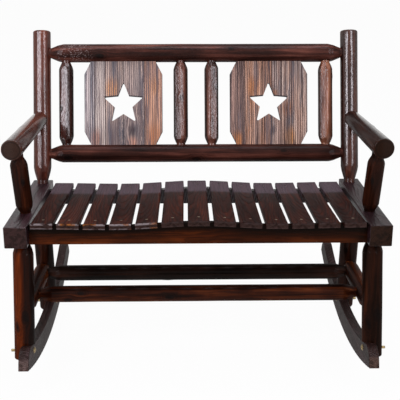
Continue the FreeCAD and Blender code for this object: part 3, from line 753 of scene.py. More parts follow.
@dataclass(frozen=True)
class PanelBoard:
    """One board of a panel: its left edge as a share of the width, its tint and its warmth."""

    edge: float
    tint: str
    warmth: float


@dataclass(frozen=True)
class Stain:
    """A patch of another colour on a panel: its place from the middle, its size and its colour."""

    sideways: float
    up: float
    size: float
    colour: str


@dataclass(frozen=True)
class PanelFinish(TimberFinish):
    """Scorched and brushed boards, glued edge to edge.

    The last three fields place the painted line of shade over the star's upper edges: its height in the
    middle, its slope to the sides and its reach. The side faces of the boards and of the star are painted
    dark as shade.
    """

    boards: tuple[PanelBoard, ...]
    shade: Stops
    late: str
    warm: str
    # Colour of the scorched seams and knots, also used for the painted shade.
    scorch: str
    width: float = 0.256
    knots: tuple[tuple[Value, float], ...] = ()
    stains: tuple[Stain, ...] = ()
    streak: str = "#494b55"
    burnt_height: float = 0.0262
    burnt_slope: float = 0.0896
    burnt_reach: float = 0.064

    def material(self, figure: Figure, piece: str, place: Matrix, seed: int) -> bpy.types.Material:
        """Make the material of one panel.

        Args:
            figure: Shared timber figure.
            piece: Name of the panel.
            place: Matrix from the panel's grain axes to the row frame.
            seed: Number that sets this panel's own pattern.

        Returns:
            The material.
        """
        material, w, plain = self.begin(piece, place)
        axes = plain.axes()
        across = axes["Y"].remap(-self.width / 2, self.width / 2)
        board: Value = 0.0
        seam: Value = 0.0
        for part in self.boards[1:]:
            board = w.math("GREATER_THAN", across, part.edge) + board
            seam = across.band(part.edge, 0.001, 0.004).peak(seam)
        point, mask, _ = self.knotted(w, figure, plain, self.knots)
        shift = w.add("CombineXYZ", {0: board * 0.31, 1: board * 0.17, 2: board * 0.73})
        out = w.outputs("Group", {
            "Vector": point, "Seed": shift + (seed * 0.9, seed * 1.3, seed * 0.7),
            "Pith": w.add("CombineXYZ", {0: 0.035, 1: board * 0.045 - 0.20}),
            "Axis": place.col[2].to_3d(), "Rings": 165.0, "Drift": 0.014}, node_tree=figure.board)
        local = point + shift
        bend = w.noise(local * (12.0, 12.0, 26.0), 2.0, 0.5) - 0.5
        local = local + w.add("CombineXYZ", {1: bend * 0.008})
        pin = w.noise(local * (190.0, 190.0, 3.0), 3.0, 0.55)
        aside = abs(axes["Y"])
        # Painted shade line over the star's upper edges.
        painted_shade_line = (axes["Z"] + aside * self.burnt_slope).band(self.burnt_height, 0.0011, 0.0008)
        over_star = w.math("LESS_THAN", aside, self.burnt_reach)
        face = w.squareness(place.col[0].to_3d()[:])
        # Seams and knots in the scorched colour; the same colour gives the painted shade line over the star
        # and the painted shade on the side faces.
        colour = self._grained(w, point, local, out, across, pin).under(
            (seam.peak(mask) * 0.75, self.scorch), (painted_shade_line * over_star * 0.85, self.scorch),
            (1.0 - face.smooth(0.5, 0.95), self.scorch))
        height = out["Late"] * 0.8 + pin * 0.5 - seam
        self.close(w, colour, out["Fibre"] * 0.2 + self.gloss.roughness, height, out["End"])
        return material

    def _grained(self, w: Wiring, point: Signal, local: Signal, out: Outputs, across: Signal,
                 pin: Signal) -> Signal:
        """Colour the boards with their tints, stains and dark grain.

        Args:
            w: Wiring of the material.
            point: Point in grain axes.
            local: The point shifted by board, so that no grain runs over a seam.
            out: What the timber figure gives.
            across: Share of the panel's width.
            pin: Fine streaks.

        Returns:
            The colour of the face.
        """
        own = w.noise(local * (34.0, 34.0, 5.0), 4.0, 0.6)
        burnt = w.noise(local * (60.0, 60.0, 3.2), 3.0, 0.6)
        line = w.noise(local * (170.0, 170.0, 5.0), 2.0, 0.5)
        tone = out["Streak"] * 0.35 + out["Fibre"] * 0.20 + pin * 0.45
        tint = w.ramp(across, tuple((part.edge, part.tint) for part in self.boards), True)
        greys = tuple((part.edge, "#" + f"{round(255 * part.warmth):02x}" * 3) for part in self.boards)
        coats = [(own.smooth(0.44, 0.60) * w.ramp(across, greys, True), self.warm)]
        streaky = pin.remap(0.42, 0.56, 0.40, 1.0)
        for stain in self.stains:
            away = (point - (0.0, stain.sideways, stain.up)) * (0.0, 1.0, 0.55)
            reach = away.length() + own * (0.5 * stain.size)
            near = 1.0 - reach.smooth(stain.size * 0.5, stain.size * 1.4)
            coats.append((near * streaky * 0.75, stain.colour))
        return w.mix(1.0, tint, w.ramp(tone, self.shade), "MULTIPLY").under(
            *coats, (out["Late"].smooth(0.35, 0.85) * 0.72, self.late),
            (burnt.smooth(0.55, 0.63) * 0.65, self.streak), (line.smooth(0.56, 0.63) * 0.75, self.late))


@dataclass(frozen=True)
class MetalFinish:
    """Plated steel of a fastener, dulled by the lacquer that ran over it.

    Behind the depth of dark_behind it is dull all over. As a rule that lies beyond the bench.
    """

    name: str
    bright: str
    dull: str
    roughness: float
    dark_behind: float = 9.0

    def material(self) -> bpy.types.Material:
        """Make the material.

        Returns:
            The material.
        """
        material = bpy.data.materials.new(self.name)
        w = wiring_of(material)
        point = w.add("TexCoord", output="Object")
        tarnish = w.noise(point * (260.0, 260.0, 260.0), 4.0, 0.6)
        scratch = w.noise(point * (900.0, 2600.0, 900.0), 2.0)
        behind = point.axes()["Y"].smooth(self.dark_behind, self.dark_behind + 0.01)
        colour = w.mix(tarnish.smooth(0.35, 0.7), self.bright, self.dull).under((behind * 0.85, self.dull))
        shader = w.add("BsdfPrincipled", {
            "Base Color": colour, "Roughness": tarnish * 0.25 + self.roughness, "Metallic": 1.0,
            "Normal": w.add("Bump", {"Height": tarnish + scratch, "Distance": 0.0001})})
        w.node("OutputMaterial", {0: shader})
        return material


POLE = LogFinish(
    "pole", Gloss(0.36, 0.85, 0.14, 0.0014, rim=0.30), grit=0.18, speckle=0.6, dull_foot=0.16,
    skin=stops("#140604 #280f0a #3d1b13 #572b1e #784434"))
# Darker copy of POLE for the right post: painted shade for the side away from the stronger left lamp.
SHADED_POLE = replace(
    POLE, name="dark_pole", gloss=Gloss(0.36, 1.0, 0.10, 0.0013, rim=0.25), grit=0.12,
    skin=stops("#0d0403 #1a0a07 #2b140e #412116 #603728"))
# The spindle finishes get painted shade along both edges.
DULL_POLE = replace(
    POLE, name="dull_pole", gloss=Gloss(0.38, 0.62, 0.18, 0.0014, rim=0.12), grit=0.25, dark_edges=0.85,
    dull_foot=0.0, skin=stops("#1a0b07 #2f1710 #43241b #5c372b #805545", DULL_TONES))
PALE_POLE = replace(
    DULL_POLE, name="pale_pole", skin=stops("#2a130c #48261a #623a29 #7f503b #a27257", DULL_TONES))
ARM_POLE = replace(
    POLE, name="arm_pole", gloss=Gloss(0.38, 1.0, 0.14, 0.0006, rim=1.0), grit=0.2, speckle=0.3,
    dull_foot=0.0, dull_side=0.65, end_light="#3f2a21", end_dark="#180e0a",
    skin=stops("#130604 #240d09 #361810 #4c251a #6c3c2d"))
# Darker copy of ARM_POLE for the right arm: painted shade for the side away from the stronger left lamp.
SHADED_ARM_POLE = replace(
    ARM_POLE, name="dark_arm_pole", gloss=Gloss(0.38, 0.90, 0.14, 0.0006, end_coat=0.10, rim=1.0),
    dull_side=-0.88, end_light="#28150b", end_dark="#120905",
    skin=stops("#0b0302 #160705 #23100a #361a11 #532c20"))
BEAM = LogFinish(
    "beam", Gloss(0.40, 0.15, 0.22, 0.0012, rim=0.40), grit=0.3, speckle=0.6,
    skin=stops("#110705 #200e0a #311812 #4a2820 #6f4539", (0.38, 0.45, 0.50, 0.56, 0.64)))
# The top rail's left end gets pale flecks, partly scars and partly painted glints.
FLECKED_BEAM = replace(BEAM, name="flecked_beam", flecked=(0.080, 0.040))
LOW_BEAM = replace(BEAM, name="low_beam", gloss=Gloss(0.40, 0.08, 0.22, 0.0012, rim=0.40))
# LEG is the left front leg, with painted shade over its right side.
LEG = LogFinish(
    "leg", Gloss(0.42, 0.10, 0.14, 0.0010, body=0.02, rim=0.2),
    skin=stops("#140602 #280c01 #431702 #602605 #7c3a0c"), dark_side=-0.80)
DARK_LEG = replace(
    LEG, name="dark_leg", dark_side=0.0, skin=stops("#080302 #110603 #1d0b05 #2f140a #4a2412"))
# Near-black copy of the leg finish for the right front leg: painted shade for the side away from the stronger
# left lamp.
SHADED_LEG = replace(
    DARK_LEG, name="black_leg", gloss=Gloss(0.42, 0.05, 0.12, 0.0010, body=0.02, rim=0.2),
    skin=stops("#050201 #0b0402 #140703 #220e06 #3a1b0c"))
STAVE = LogFinish(
    "stave", Gloss(0.42, 0.10, 0.20, 0.0009, body=0.02, rim=0.2), grit=0.2,
    skin=stops("#080302 #170703 #2b1006 #46200d #6e3a1d", (0.38, 0.45, 0.50, 0.55, 0.62)))
DARK_STAVE = replace(
    STAVE, name="dark_stave", skin=stops("#060302 #0c0604 #160b07 #23130d #3a231a"))
SAWN = BoardFinish(
    "sawn", Gloss(0.42, 0.80, 0.28, 0.0012, end_coat=0.10, rim=0.85), rings=260.0, late_share=0.5,
    saw_marks=0.4, early=stops("#130709 #2a151b #482c33", BOARD_TONES), late="#0a0404",
    end_light="#342220", end_dark="#170c09")
# Darker copy of SAWN for the right side rail: painted shade for the side away from the stronger left lamp.
SHADED_SAWN = replace(
    SAWN, name="dark_sawn", gloss=Gloss(0.42, 0.50, 0.28, 0.0012, end_coat=0.08, rim=0.75),
    early=stops("#0e0506 #1f0f12 #382025", BOARD_TONES), end_light="#281810", end_dark="#110804")
ROCKER = BoardFinish(
    "rocker", Gloss(0.46, 0.20, 0.30, 0.0014, end_coat=1.2, rim=0.5), rings=240.0, late_share=0.5,
    saw_marks=0.3, early=stops("#150b09 #2b1b18 #4d3a3b", BOARD_TONES), late="#0e0605",
    end_light="#5c4b47", end_dark="#23150f")
# Copy of ROCKER for the right rocker, with less lacquer and darker ends; the darker ends are painted shade
# for the side away from the stronger left lamp.
SHADED_ROCKER = replace(
    ROCKER, name="dark_rocker", gloss=Gloss(0.46, 0.12, 0.28, 0.0014, end_coat=1.5, rim=0.5),
    end_light="#4c3a32", end_dark="#1d100a")
APRON = ApronFinish(
    "apron", Gloss(0.40, 0.06, 0.25, 0.0006, body=0.02, rim=0.3), rings=230.0, late_share=0.45,
    early=stops("#170802 #371505 #5e2a0b", BOARD_TONES), late="#0b0502")
SLAT = SlatFinish(
    "slat", Gloss(0.42, 0.11, 0.22, 0.0012, body=0.03, rim=0.35), rings=250.0, late_share=0.6, drift=0.03,
    early=stops("#110503 #240c07 #421c11", BOARD_TONES), late="#0a0403",
    end_light="#3d2d29", end_dark="#1d120f")
LEFT_PANEL = PanelFinish(
    "left_panel", Gloss(0.52, 0.10, 0.35, 0.0010),
    boards=(PanelBoard(0.0, "#c8c1c2", 0.12), PanelBoard(0.13, "#cfc4be", 0.30),
            PanelBoard(0.267, "#bfada4", 0.35), PanelBoard(0.50, "#bcaba4", 0.25),
            PanelBoard(0.766, "#d4a993", 0.55)),
    shade=stops("#767b82 #aaabae #dcd8d3 #f6f1ec", PANEL_TONES),
    late="#54474a", warm="#b57f55", scorch="#2a2327", knots=(((0.0, 0.028, -0.092), 0.018),),
    stains=(Stain(-0.038, 0.045, 0.026, "#b87a40"), Stain(-0.030, -0.105, 0.040, "#514e56"),
            Stain(0.038, -0.088, 0.022, "#3a3f4a"), Stain(0.028, -0.132, 0.016, "#b07a62"),
            Stain(0.105, 0.055, 0.022, "#a87650"), Stain(0.100, -0.110, 0.030, "#a8683a"),
            Stain(-0.090, -0.118, 0.024, "#8d5a48")))
RIGHT_PANEL = PanelFinish(
    "right_panel", Gloss(0.52, 0.10, 0.35, 0.0010),
    boards=(PanelBoard(0.0, "#ab8e85", 0.15), PanelBoard(0.19, "#cba694", 0.60),
            PanelBoard(0.415, "#c29b8a", 0.45), PanelBoard(0.54, "#b0a09c", 0.45),
            PanelBoard(0.66, "#c3b0a8", 0.50)),
    shade=stops("#5f646b #a3a4a7 #dcd8d2 #fbf7f0", PANEL_TONES),
    late="#3d2e2c", warm="#b87642", scorch="#211a1f", streak="#40424c",
    stains=(Stain(-0.050, 0.052, 0.024, "#b0703a"), Stain(0.020, 0.030, 0.010, "#b0703c"),
            Stain(0.062, -0.020, 0.020, "#a86a40"), Stain(-0.105, -0.125, 0.022, "#b06c2c"),
            Stain(0.070, -0.115, 0.026, "#ab7032"), Stain(0.016, -0.090, 0.012, "#33343e")))
BRASS = MetalFinish("yellow_plated_steel", "#a08e68", "#5e5038", 0.38)
STEEL = MetalFinish("dulled_plated_steel", "#8c7e6c", "#2e231e", 0.38, 0.0)


@dataclass(frozen=True)
class HewnEnd:
    """The end of a log, dressed down in flat facets to a round neck and tenon.

    neck is a diameter, taper and tenon are lengths, and show is how much of the neck is seen. The
    facets turn halfway along the taper, at the share belly of the way out to the skin.
    """

    neck: float
    taper: float
    tenon: float
    show: float = 0.003
    belly: float = 0.66
    play: float = 0.0003
    beyond: float = 1.3
    flare: float = 1.02

    @property
    def reach(self) -> float:
        """Length of the facets, which run past the taper until they leave the log."""
        return self.taper * self.beyond

    def apothem(self, depth: float, radius: float) -> float:
        """How far the flats lie from the log's axis.

        Args:
            depth: Distance from the seat into the log.
            radius: Radius of the log.

        Returns:
            Distance from the axis to the flats.
        """
        waist = self.neck / 2 + self.play
        middle = waist + (radius - waist) * self.belly
        step = (depth - self.show) / (self.taper / 2)
        if step < 1:
            return waist + (middle - waist) * step
        return middle + (radius * self.flare - middle) * (step - 1)


@dataclass
class PeeledLog:
    """A log that is nearly round, with knots, and with plain or hewn ends.

    thinning is what its diameter loses on the way to its end. Each of its planed flats has an angle
    from the facing side, in degrees, and a depth.
    """

    name: str
    start: Vector
    end: Vector
    diameter: float
    facing: Vector
    seed: int
    low: HewnEnd | None = None
    high: HewnEnd | None = None
    knots: tuple[Knot, ...] = ()
    ease: float = 0.005
    facets: int = 9
    segments: int = 54
    ring_step: float = 0.010
    facet_step: float = 0.0022
    slim: float = 0.992
    unevenness: float = 0.010
    bumps_round: float = 1.2
    bumps_along: float = 8.0
    bumps_shift: float = 3.1
    knot_rise: float = 0.0011
    knot_spread: float = 1.4
    thinning: float = 0.0
    planed: tuple[tuple[float, float], ...] = ()
    planed_reach: float = 1.2

    @property
    def length(self) -> float:
        """Length between the seats."""
        return (self.end - self.start).length

    @property
    def place(self) -> Matrix:
        """Grain axes of the log."""
        return grain_frame(self.start, self.end - self.start, self.facing)

    def full_radius(self, height: float) -> float:
        """Radius of the round log from which the piece is cut, which thins along its length."""
        return (self.diameter - self.thinning * height / self.length) / 2

    def knot_centres(self) -> tuple[tuple[Vector, float], ...]:
        """Find the knots on the skin.

        Returns:
            Centre in grain axes and size of each knot.
        """
        centres = []
        for knot in self.knots:
            angle, height = math.radians(knot.around), knot.along * self.length
            radius = self.full_radius(height)
            centres.append((Vector((radius * math.cos(angle), radius * math.sin(angle), height)), knot.size))
        return tuple(centres)

    def radius_at(self, angle: float, height: float) -> float:
        """Radius of the log's skin.

        Args:
            angle: Angle from the facing side.
            height: Distance from the log's start.

        Returns:
            Distance of the skin from the axis.
        """
        full = self.full_radius(height)
        spot = Vector((math.cos(angle) * self.bumps_round + self.seed * self.bumps_shift,
                       math.sin(angle) * self.bumps_round, height * self.bumps_along))
        radius = full * (self.slim + self.unevenness * noise.noise(spot))
        for around, depth in self.planed:
            turn = math.remainder(angle - math.radians(around), 2 * math.pi)
            if abs(turn) < self.planed_reach:
                radius = min(radius, (full - depth) / math.cos(turn))
        for knot in self.knots:
            turn = math.remainder(angle - math.radians(knot.around), 2 * math.pi)
            gap = math.hypot(turn * full, height - knot.along * self.length)
            radius += self.knot_rise * math.exp(-(gap / (self.knot_spread * knot.size)) ** 2)
        for spec, depth in ((self.low, height), (self.high, self.length - height)):
            if spec is None:
                rest = max(self.ease - depth, 0.0)
                radius -= self.ease - math.sqrt(max(self.ease ** 2 - rest ** 2, 0.0))
            elif depth < spec.show - 1e-6:
                radius = spec.neck / 2
            elif depth < spec.show + spec.reach:
                wedge = 2 * math.pi / self.facets
                off = (angle % wedge) - wedge / 2
                radius = min(radius, spec.apothem(depth, full) / math.cos(off))
        return radius

    def _end_heights(self, spec: HewnEnd | None) -> list[float]:
        """Find where the surface needs rings near an end.

        Args:
            spec: How the end is hewn, or None where it is only eased.

        Returns:
            Distances from the end.
        """
        if spec is None:
            return [self.ease * (1 - math.cos(math.radians(a))) for a in (0, 22, 45, 67, 90)]
        count = round(spec.reach / self.facet_step)
        hewn = [spec.show + spec.reach * i / count for i in range(count + 1)]
        return [-spec.tenon, spec.show - 2e-5] + hewn

    def heights(self) -> list[float]:
        """Find where the log has rings.

        Returns:
            Distances from the start, in order.
        """
        low = self._end_heights(self.low)
        high = [self.length - h for h in reversed(self._end_heights(self.high))]
        count = max(2, round((high[0] - low[-1]) / self.ring_step))
        return low + [low[-1] + (high[0] - low[-1]) * i / count for i in range(1, count)] + high

    def mesh(self) -> bmesh.types.BMesh:
        """Draw the log out ring by ring, in its grain axes, and set it in place.

        Returns:
            The closed mesh.
        """
        bm = bmesh.new()
        ring = bmesh.ops.create_circle(bm, radius=1.0, segments=self.segments)["verts"]
        edges = list(bm.edges)
        for index, height in enumerate(self.heights()):
            if index:
                made = bmesh.ops.extrude_edge_only(bm, edges=edges)["geom"]
                ring = [item for item in made if isinstance(item, bmesh.types.BMVert)]
                fresh = set(ring)
                edges = [item for item in made
                         if isinstance(item, bmesh.types.BMEdge) and fresh.issuperset(item.verts)]
            for vert in ring:
                angle = math.atan2(vert.co.y, vert.co.x)
                reach = self.radius_at(angle, height)
                vert.co = Vector((reach * math.cos(angle), reach * math.sin(angle), height))
        close_mesh(bm, self.segments)
        bmesh.ops.transform(bm, matrix=self.place, verts=bm.verts)
        return bm


def close_mesh(bm: bmesh.types.BMesh, sides: int) -> None:
    """Fill the open ends of a mesh and point its faces outwards."""
    bmesh.ops.holes_fill(bm, edges=[edge for edge in bm.edges if edge.is_boundary], sides=sides)
    bmesh.ops.recalc_face_normals(bm, faces=bm.faces)


class Carver:
    """Turns meshes into finished objects of the bench and cuts joints into them."""

    sharp_angle: float = math.radians(13)
    bore_sides: int = 48

    def finish(self, name: str, bm: bmesh.types.BMesh) -> bpy.types.Object:
        """Make an object from a mesh, smooth but for its sharp edges.

        Args:
            name: Name of the object.
            bm: The mesh, which is used up.

        Returns:
            The object, at the origin.
        """
        data = bpy.data.meshes.new(name)
        bm.to_mesh(data)
        bm.free()
        for polygon in data.polygons:
            polygon.use_smooth = True
        data.set_sharp_from_angle(angle=self.sharp_angle)
        made = bpy.data.objects.new(name, data)
        bpy.context.scene.collection.objects.link(made)
        return made

    def cut(self, piece: bpy.types.Object, tools: tuple[bmesh.types.BMesh, ...]) -> None:
        """Cut solids away from a piece.

        Args:
            piece: The piece, whose mesh is changed.
            tools: Closed meshes to take away, which are used up.
        """
        for bm in tools:
            tool = self.finish("cutter", bm)
            change = piece.modifiers.new("cut", "BOOLEAN")
            change.operation = "DIFFERENCE"
            change.solver = "EXACT"
            change.object = tool
            bpy.context.view_layer.update()
            graph = bpy.context.evaluated_depsgraph_get()
            carved = bpy.data.meshes.new_from_object(piece.evaluated_get(graph))
            piece.modifiers.clear()
            piece.data = carved
            carved.set_sharp_from_angle(angle=self.sharp_angle)
            bpy.data.objects.remove(tool)

    @classmethod
    def bore(cls, start: Vector, end: Vector, diameter: float) -> bmesh.types.BMesh:
        """Make the waste of a round bore.

        Args:
            start: Where the bore begins.
            end: Where it ends.
            diameter: Its width.

        Returns:
            A closed rod.
        """
        bm = bmesh.new()
        run = end - start
        bmesh.ops.create_cone(bm, cap_ends=True, segments=cls.bore_sides, radius1=diameter / 2,
                              radius2=diameter / 2, depth=run.length)
        turn = run.to_track_quat("Z", "Y").to_matrix().to_4x4()
        bmesh.ops.transform(bm, matrix=Matrix.Translation((start + end) / 2) @ turn, verts=bm.verts)
        return bm


@dataclass(frozen=True)
class Drawing:
    """The bench's own drawing, with its seat rails level, and where it lies in the row frame.

    x runs to the right, y from the front of the seat rails to the back, and z up from their top.
    """

    rail_height: float = 0.062
    post_x: float = 0.507
    post_foot_y: float = 0.456
    post_lean: float = math.radians(17)
    stretcher_drop: float = 0.265
    front_cross_y: float = 0.150
    rear_cross_y: float = 0.318

    @staticmethod
    def middle(node: str) -> Vector:
        """Middle of a node's box in the row frame."""
        low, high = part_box(node)
        return (low + high) / 2

    @property
    def tilt(self) -> float:
        """Angle by which the bench leans back at rest, found from its two cross stretchers."""
        run = self.middle("rear_cross_stretcher") - self.middle("front_cross_stretcher")
        return math.atan2(run.z, run.y)

    @property
    def world(self) -> Matrix:
        """Where the drawing lies.

        Returns:
            Matrix from the drawing to the row frame.
        """
        turn = Matrix.Rotation(self.tilt, 4, "X")
        drawn = Vector((0.0, self.front_cross_y, -self.stretcher_drop))
        return Matrix.Translation(self.middle("front_cross_stretcher") - turn @ drawn) @ turn

    @property
    def backward(self) -> Vector:
        """Direction to the back of the bench, in the row frame."""
        return self.world.to_3x3() @ Vector((0.0, 1.0, 0.0))

    @property
    def upward(self) -> Vector:
        """Direction that is up for the bench, in the row frame."""
        return self.world.to_3x3() @ UP

    def at(self, x: float, y: float, z: float) -> Vector:
        """A point of the drawing, in the row frame."""
        return self.world @ Vector((x, y, z))

    def on_back(self, x: float, up: float) -> Vector:
        """A point on the plane of the back, at a distance up along the posts."""
        return self.at(x, self.post_foot_y + up * math.sin(self.post_lean), up * math.cos(self.post_lean))


class Side(Enum):
    """The two sides of the bench, as seen from in front."""

    LEFT = -1
    RIGHT = 1

    @property
    def word(self) -> str:
        """Name of the side as node names have it."""
        return self.name.lower()

    def pick(self, left: object, right: object) -> object:
        """Choose what belongs to this side."""
        return left if self is Side.LEFT else right


class Workshop:
    """What every sub-assembly needs to make, dress and mount its pieces."""

    def __init__(self) -> None:
        """Set up the shared figure, the drawing and the carver."""
        self.figure = Figure()
        self.drawing = Drawing()
        self.carver = Carver()
        self.made = 0

    @staticmethod
    def paint(piece: bpy.types.Object, material: bpy.types.Material) -> None:
        """Give a piece one material."""
        piece.data.materials.clear()
        piece.data.materials.append(material)

    def mount(self, piece: bpy.types.Object, node: str) -> None:
        """Let a new piece stand for a node of the frame.

        Args:
            piece: The finished object.
            node: Node that it replaces.
        """
        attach(piece, "root")
        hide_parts(node)
        self.made += 1
        LOG.info("made %s with %d faces", piece.name, len(piece.data.polygons))

    def log(self, node: str, stick: PeeledLog, finish: LogFinish,
            tools: tuple[bmesh.types.BMesh, ...] = ()) -> None:
        """Make a log, cut its joints, dress it and mount it.

        Args:
            node: Node that the log replaces.
            stick: The log.
            finish: Finish of the log.
            tools: Solids to cut away.
        """
        piece = self.carver.finish(stick.name, stick.mesh())
        self.carver.cut(piece, tools)
        self.paint(piece, finish.material(self.figure, stick))
        self.mount(piece, node)

    def dress(self, node: str, material: bpy.types.Material) -> None:
        """Give a node of the frame its material.

        Args:
            node: The node.
            material: The material.
        """
        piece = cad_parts[node]
        self.paint(piece, material)
        for polygon in piece.data.polygons:
            polygon.material_index = 0
        LOG.info("dressed %s", node)

    def board(self, node: str, finish: BoardFinish, place: Matrix, seed: int,
              pith: tuple[float, float, float]) -> None:
        """Dress a board of the frame in its own grain."""
        self.dress(node, finish.material(self.figure, node, place, seed, Vector(pith)))


@dataclass
class Back:
    """The back: two leaning posts, two rails, four spindles and two panels."""

    shop: Workshop
    post_diameter: float = 0.058
    post_length: float = 0.498
    top_up: float = 0.4255
    low_up: float = 0.095
    top_diameter: float = 0.060
    low_diameter: float = 0.059
    spindle_diameter: float = 0.0475
    lag_bore: float = 0.0206
    lag_recess: float = 0.003
    arm_height: float = 0.203
    spindle_x: tuple[float, ...] = (-0.428, -0.051, 0.051, 0.428)
    spindle_planed: tuple[float, ...] = (-12.0, -22.0, 16.0, -30.0)
    # Every spindle gets painted shade along both edges.
    spindle_finishes: tuple[LogFinish, ...] = (
        replace(POLE, dark_edges=0.85, dull_foot=0.0), DULL_POLE, DULL_POLE, PALE_POLE)
    panel_x: float = 0.2395
    post_end: HewnEnd = HewnEnd(0.035, 0.052, 0.038, 0.008)
    rail_end: HewnEnd = HewnEnd(0.033, 0.044, 0.022)
    spindle_end: HewnEnd = HewnEnd(0.029, 0.028, 0.016)

    def build(self) -> None:
        """Make and dress all pieces of the back."""
        self._posts()
        self._rails()
        self._spindles()
        self._panels()

    def _posts(self) -> None:
        """Make the posts, bored for the arms' lag screws and flattened where they catch the light."""
        draw = self.shop.drawing
        up = self.arm_height / math.cos(draw.post_lean)
        seat = self.post_diameter / 2 / math.cos(draw.post_lean) - self.lag_recess
        for side in Side:
            x = draw.post_x * side.value
            middle = draw.on_back(x, up)
            bore = Carver.bore(middle + draw.backward * seat, middle + draw.backward * self.post_diameter,
                               self.lag_bore)
            planed = side.pick(((-9.0, 0.0012), (27.0, 0.0005), (95.0, 0.001)),
                               ((-29.0, 0.0007), (9.0, 0.0005), (-100.0, 0.001)))
            self.shop.log("rear_post_" + side.word, PeeledLog(
                "post_" + side.word, draw.on_back(x, 0.0), draw.on_back(x, self.post_length),
                self.post_diameter, FRONT, 11 + side.value, low=self.post_end, planed=planed,
                knots=(Knot(0.33, 20 * side.value, 0.008), Knot(0.86, -70 * side.value, 0.007))),
                side.pick(POLE, SHADED_POLE), (bore,))

    def _rails(self) -> None:
        """Make the two rails."""
        draw = self.shop.drawing
        reach = draw.post_x - self.post_diameter / 2
        for node, finish, up, diameter, seed, knots in (
                ("top_back_rail", FLECKED_BEAM, self.top_up, self.top_diameter, 21,
                 (Knot(0.17, 5.0, 0.010), Knot(0.62, -40.0, 0.007))),
                ("lower_back_rail", LOW_BEAM, self.low_up, self.low_diameter, 24,
                 (Knot(0.06, 10.0, 0.010), Knot(0.50, 25.0, 0.010), Knot(0.80, -30.0, 0.007)))):
            self.shop.log(node, PeeledLog(
                node + "_log", draw.on_back(-reach, up), draw.on_back(reach, up), diameter, FRONT, seed,
                low=self.rail_end, high=self.rail_end, knots=knots), finish)

    def _spindles(self) -> None:
        """Make the four spindles."""
        draw = self.shop.drawing
        low = self.low_up + self.low_diameter / 2
        high = self.top_up - self.top_diameter / 2
        pieces = zip(self.spindle_x, self.spindle_planed, self.spindle_finishes)
        for number, (x, turned, finish) in enumerate(pieces, 1):
            self.shop.log(f"spindle_{number}", PeeledLog(
                f"spindle_log_{number}", draw.on_back(x, low), draw.on_back(x, high), self.spindle_diameter,
                FRONT, 30 + number, low=self.spindle_end, high=self.spindle_end,
                knots=(Knot(0.3 + 0.13 * number, 40.0 * (number - 2), 0.007),),
                planed=((turned, 0.0034), (turned + 70.0, 0.0014))), finish)

    def _panels(self) -> None:
        """Dress the two panels with a star."""
        draw = self.shop.drawing
        upward = draw.on_back(0.0, 1.0) - draw.on_back(0.0, 0.0)
        for side in Side:
            node = "star_panel_" + side.word
            centre = draw.on_back(self.panel_x * side.value, (self.low_up + self.top_up) / 2)
            self.shop.dress(node, side.pick(LEFT_PANEL, RIGHT_PANEL).material(
                self.shop.figure, node, grain_frame(centre, upward, FRONT), 5 + side.value))


@dataclass
class Arms:
    """The two arms and the short posts under their front ends."""

    shop: Workshop
    diameter: float = 0.060
    thinning: float = 0.009
    height: float = 0.203
    front: tuple[float, float] = (0.518, 0.066)
    rear_offset: float = 0.006
    end_setback: float = 0.010
    support_diameter: float = 0.050
    support_foot: tuple[float, float] = (0.505, 0.140)
    support_head_y: float = 0.110
    support_head_inset: float = 0.007
    support_end: HewnEnd = HewnEnd(0.032, 0.026, 0.020, 0.005)

    def build(self) -> None:
        """Make the arms and their supports."""
        draw = self.shop.drawing
        front_x, front_y = self.front
        rear_x = draw.post_x + self.rear_offset
        rear_y = draw.post_foot_y + self.height * math.tan(draw.post_lean) - self.end_setback
        share = (self.support_head_y - front_y) / (rear_y - front_y)
        over_x = front_x + (rear_x - front_x) * share - self.support_head_inset
        radius = (self.diameter - self.thinning * share) / 2
        drop = math.sqrt(radius ** 2 - self.support_head_inset ** 2)
        for side in Side:
            s = side.value
            self.shop.log("arm_" + side.word, PeeledLog(
                "arm_log_" + side.word, draw.at(s * front_x, front_y, self.height),
                draw.at(s * rear_x, rear_y, self.height), self.diameter, UP, 40 + s,
                knots=(Knot(0.45, 35.0 * s, 0.008),), ease=0.004, thinning=self.thinning),
                side.pick(ARM_POLE, SHADED_ARM_POLE))
            foot = draw.at(s * self.support_foot[0], self.support_foot[1], 0.0)
            head = draw.at(s * over_x, self.support_head_y, self.height - drop)
            self.shop.log("arm_support_" + side.word, PeeledLog(
                "arm_support_log_" + side.word, foot, head, self.support_diameter, FRONT, 44 + s,
                low=self.support_end, high=self.support_end, knots=(Knot(0.6, -25.0 * s, 0.007),)), DARK_LEG)


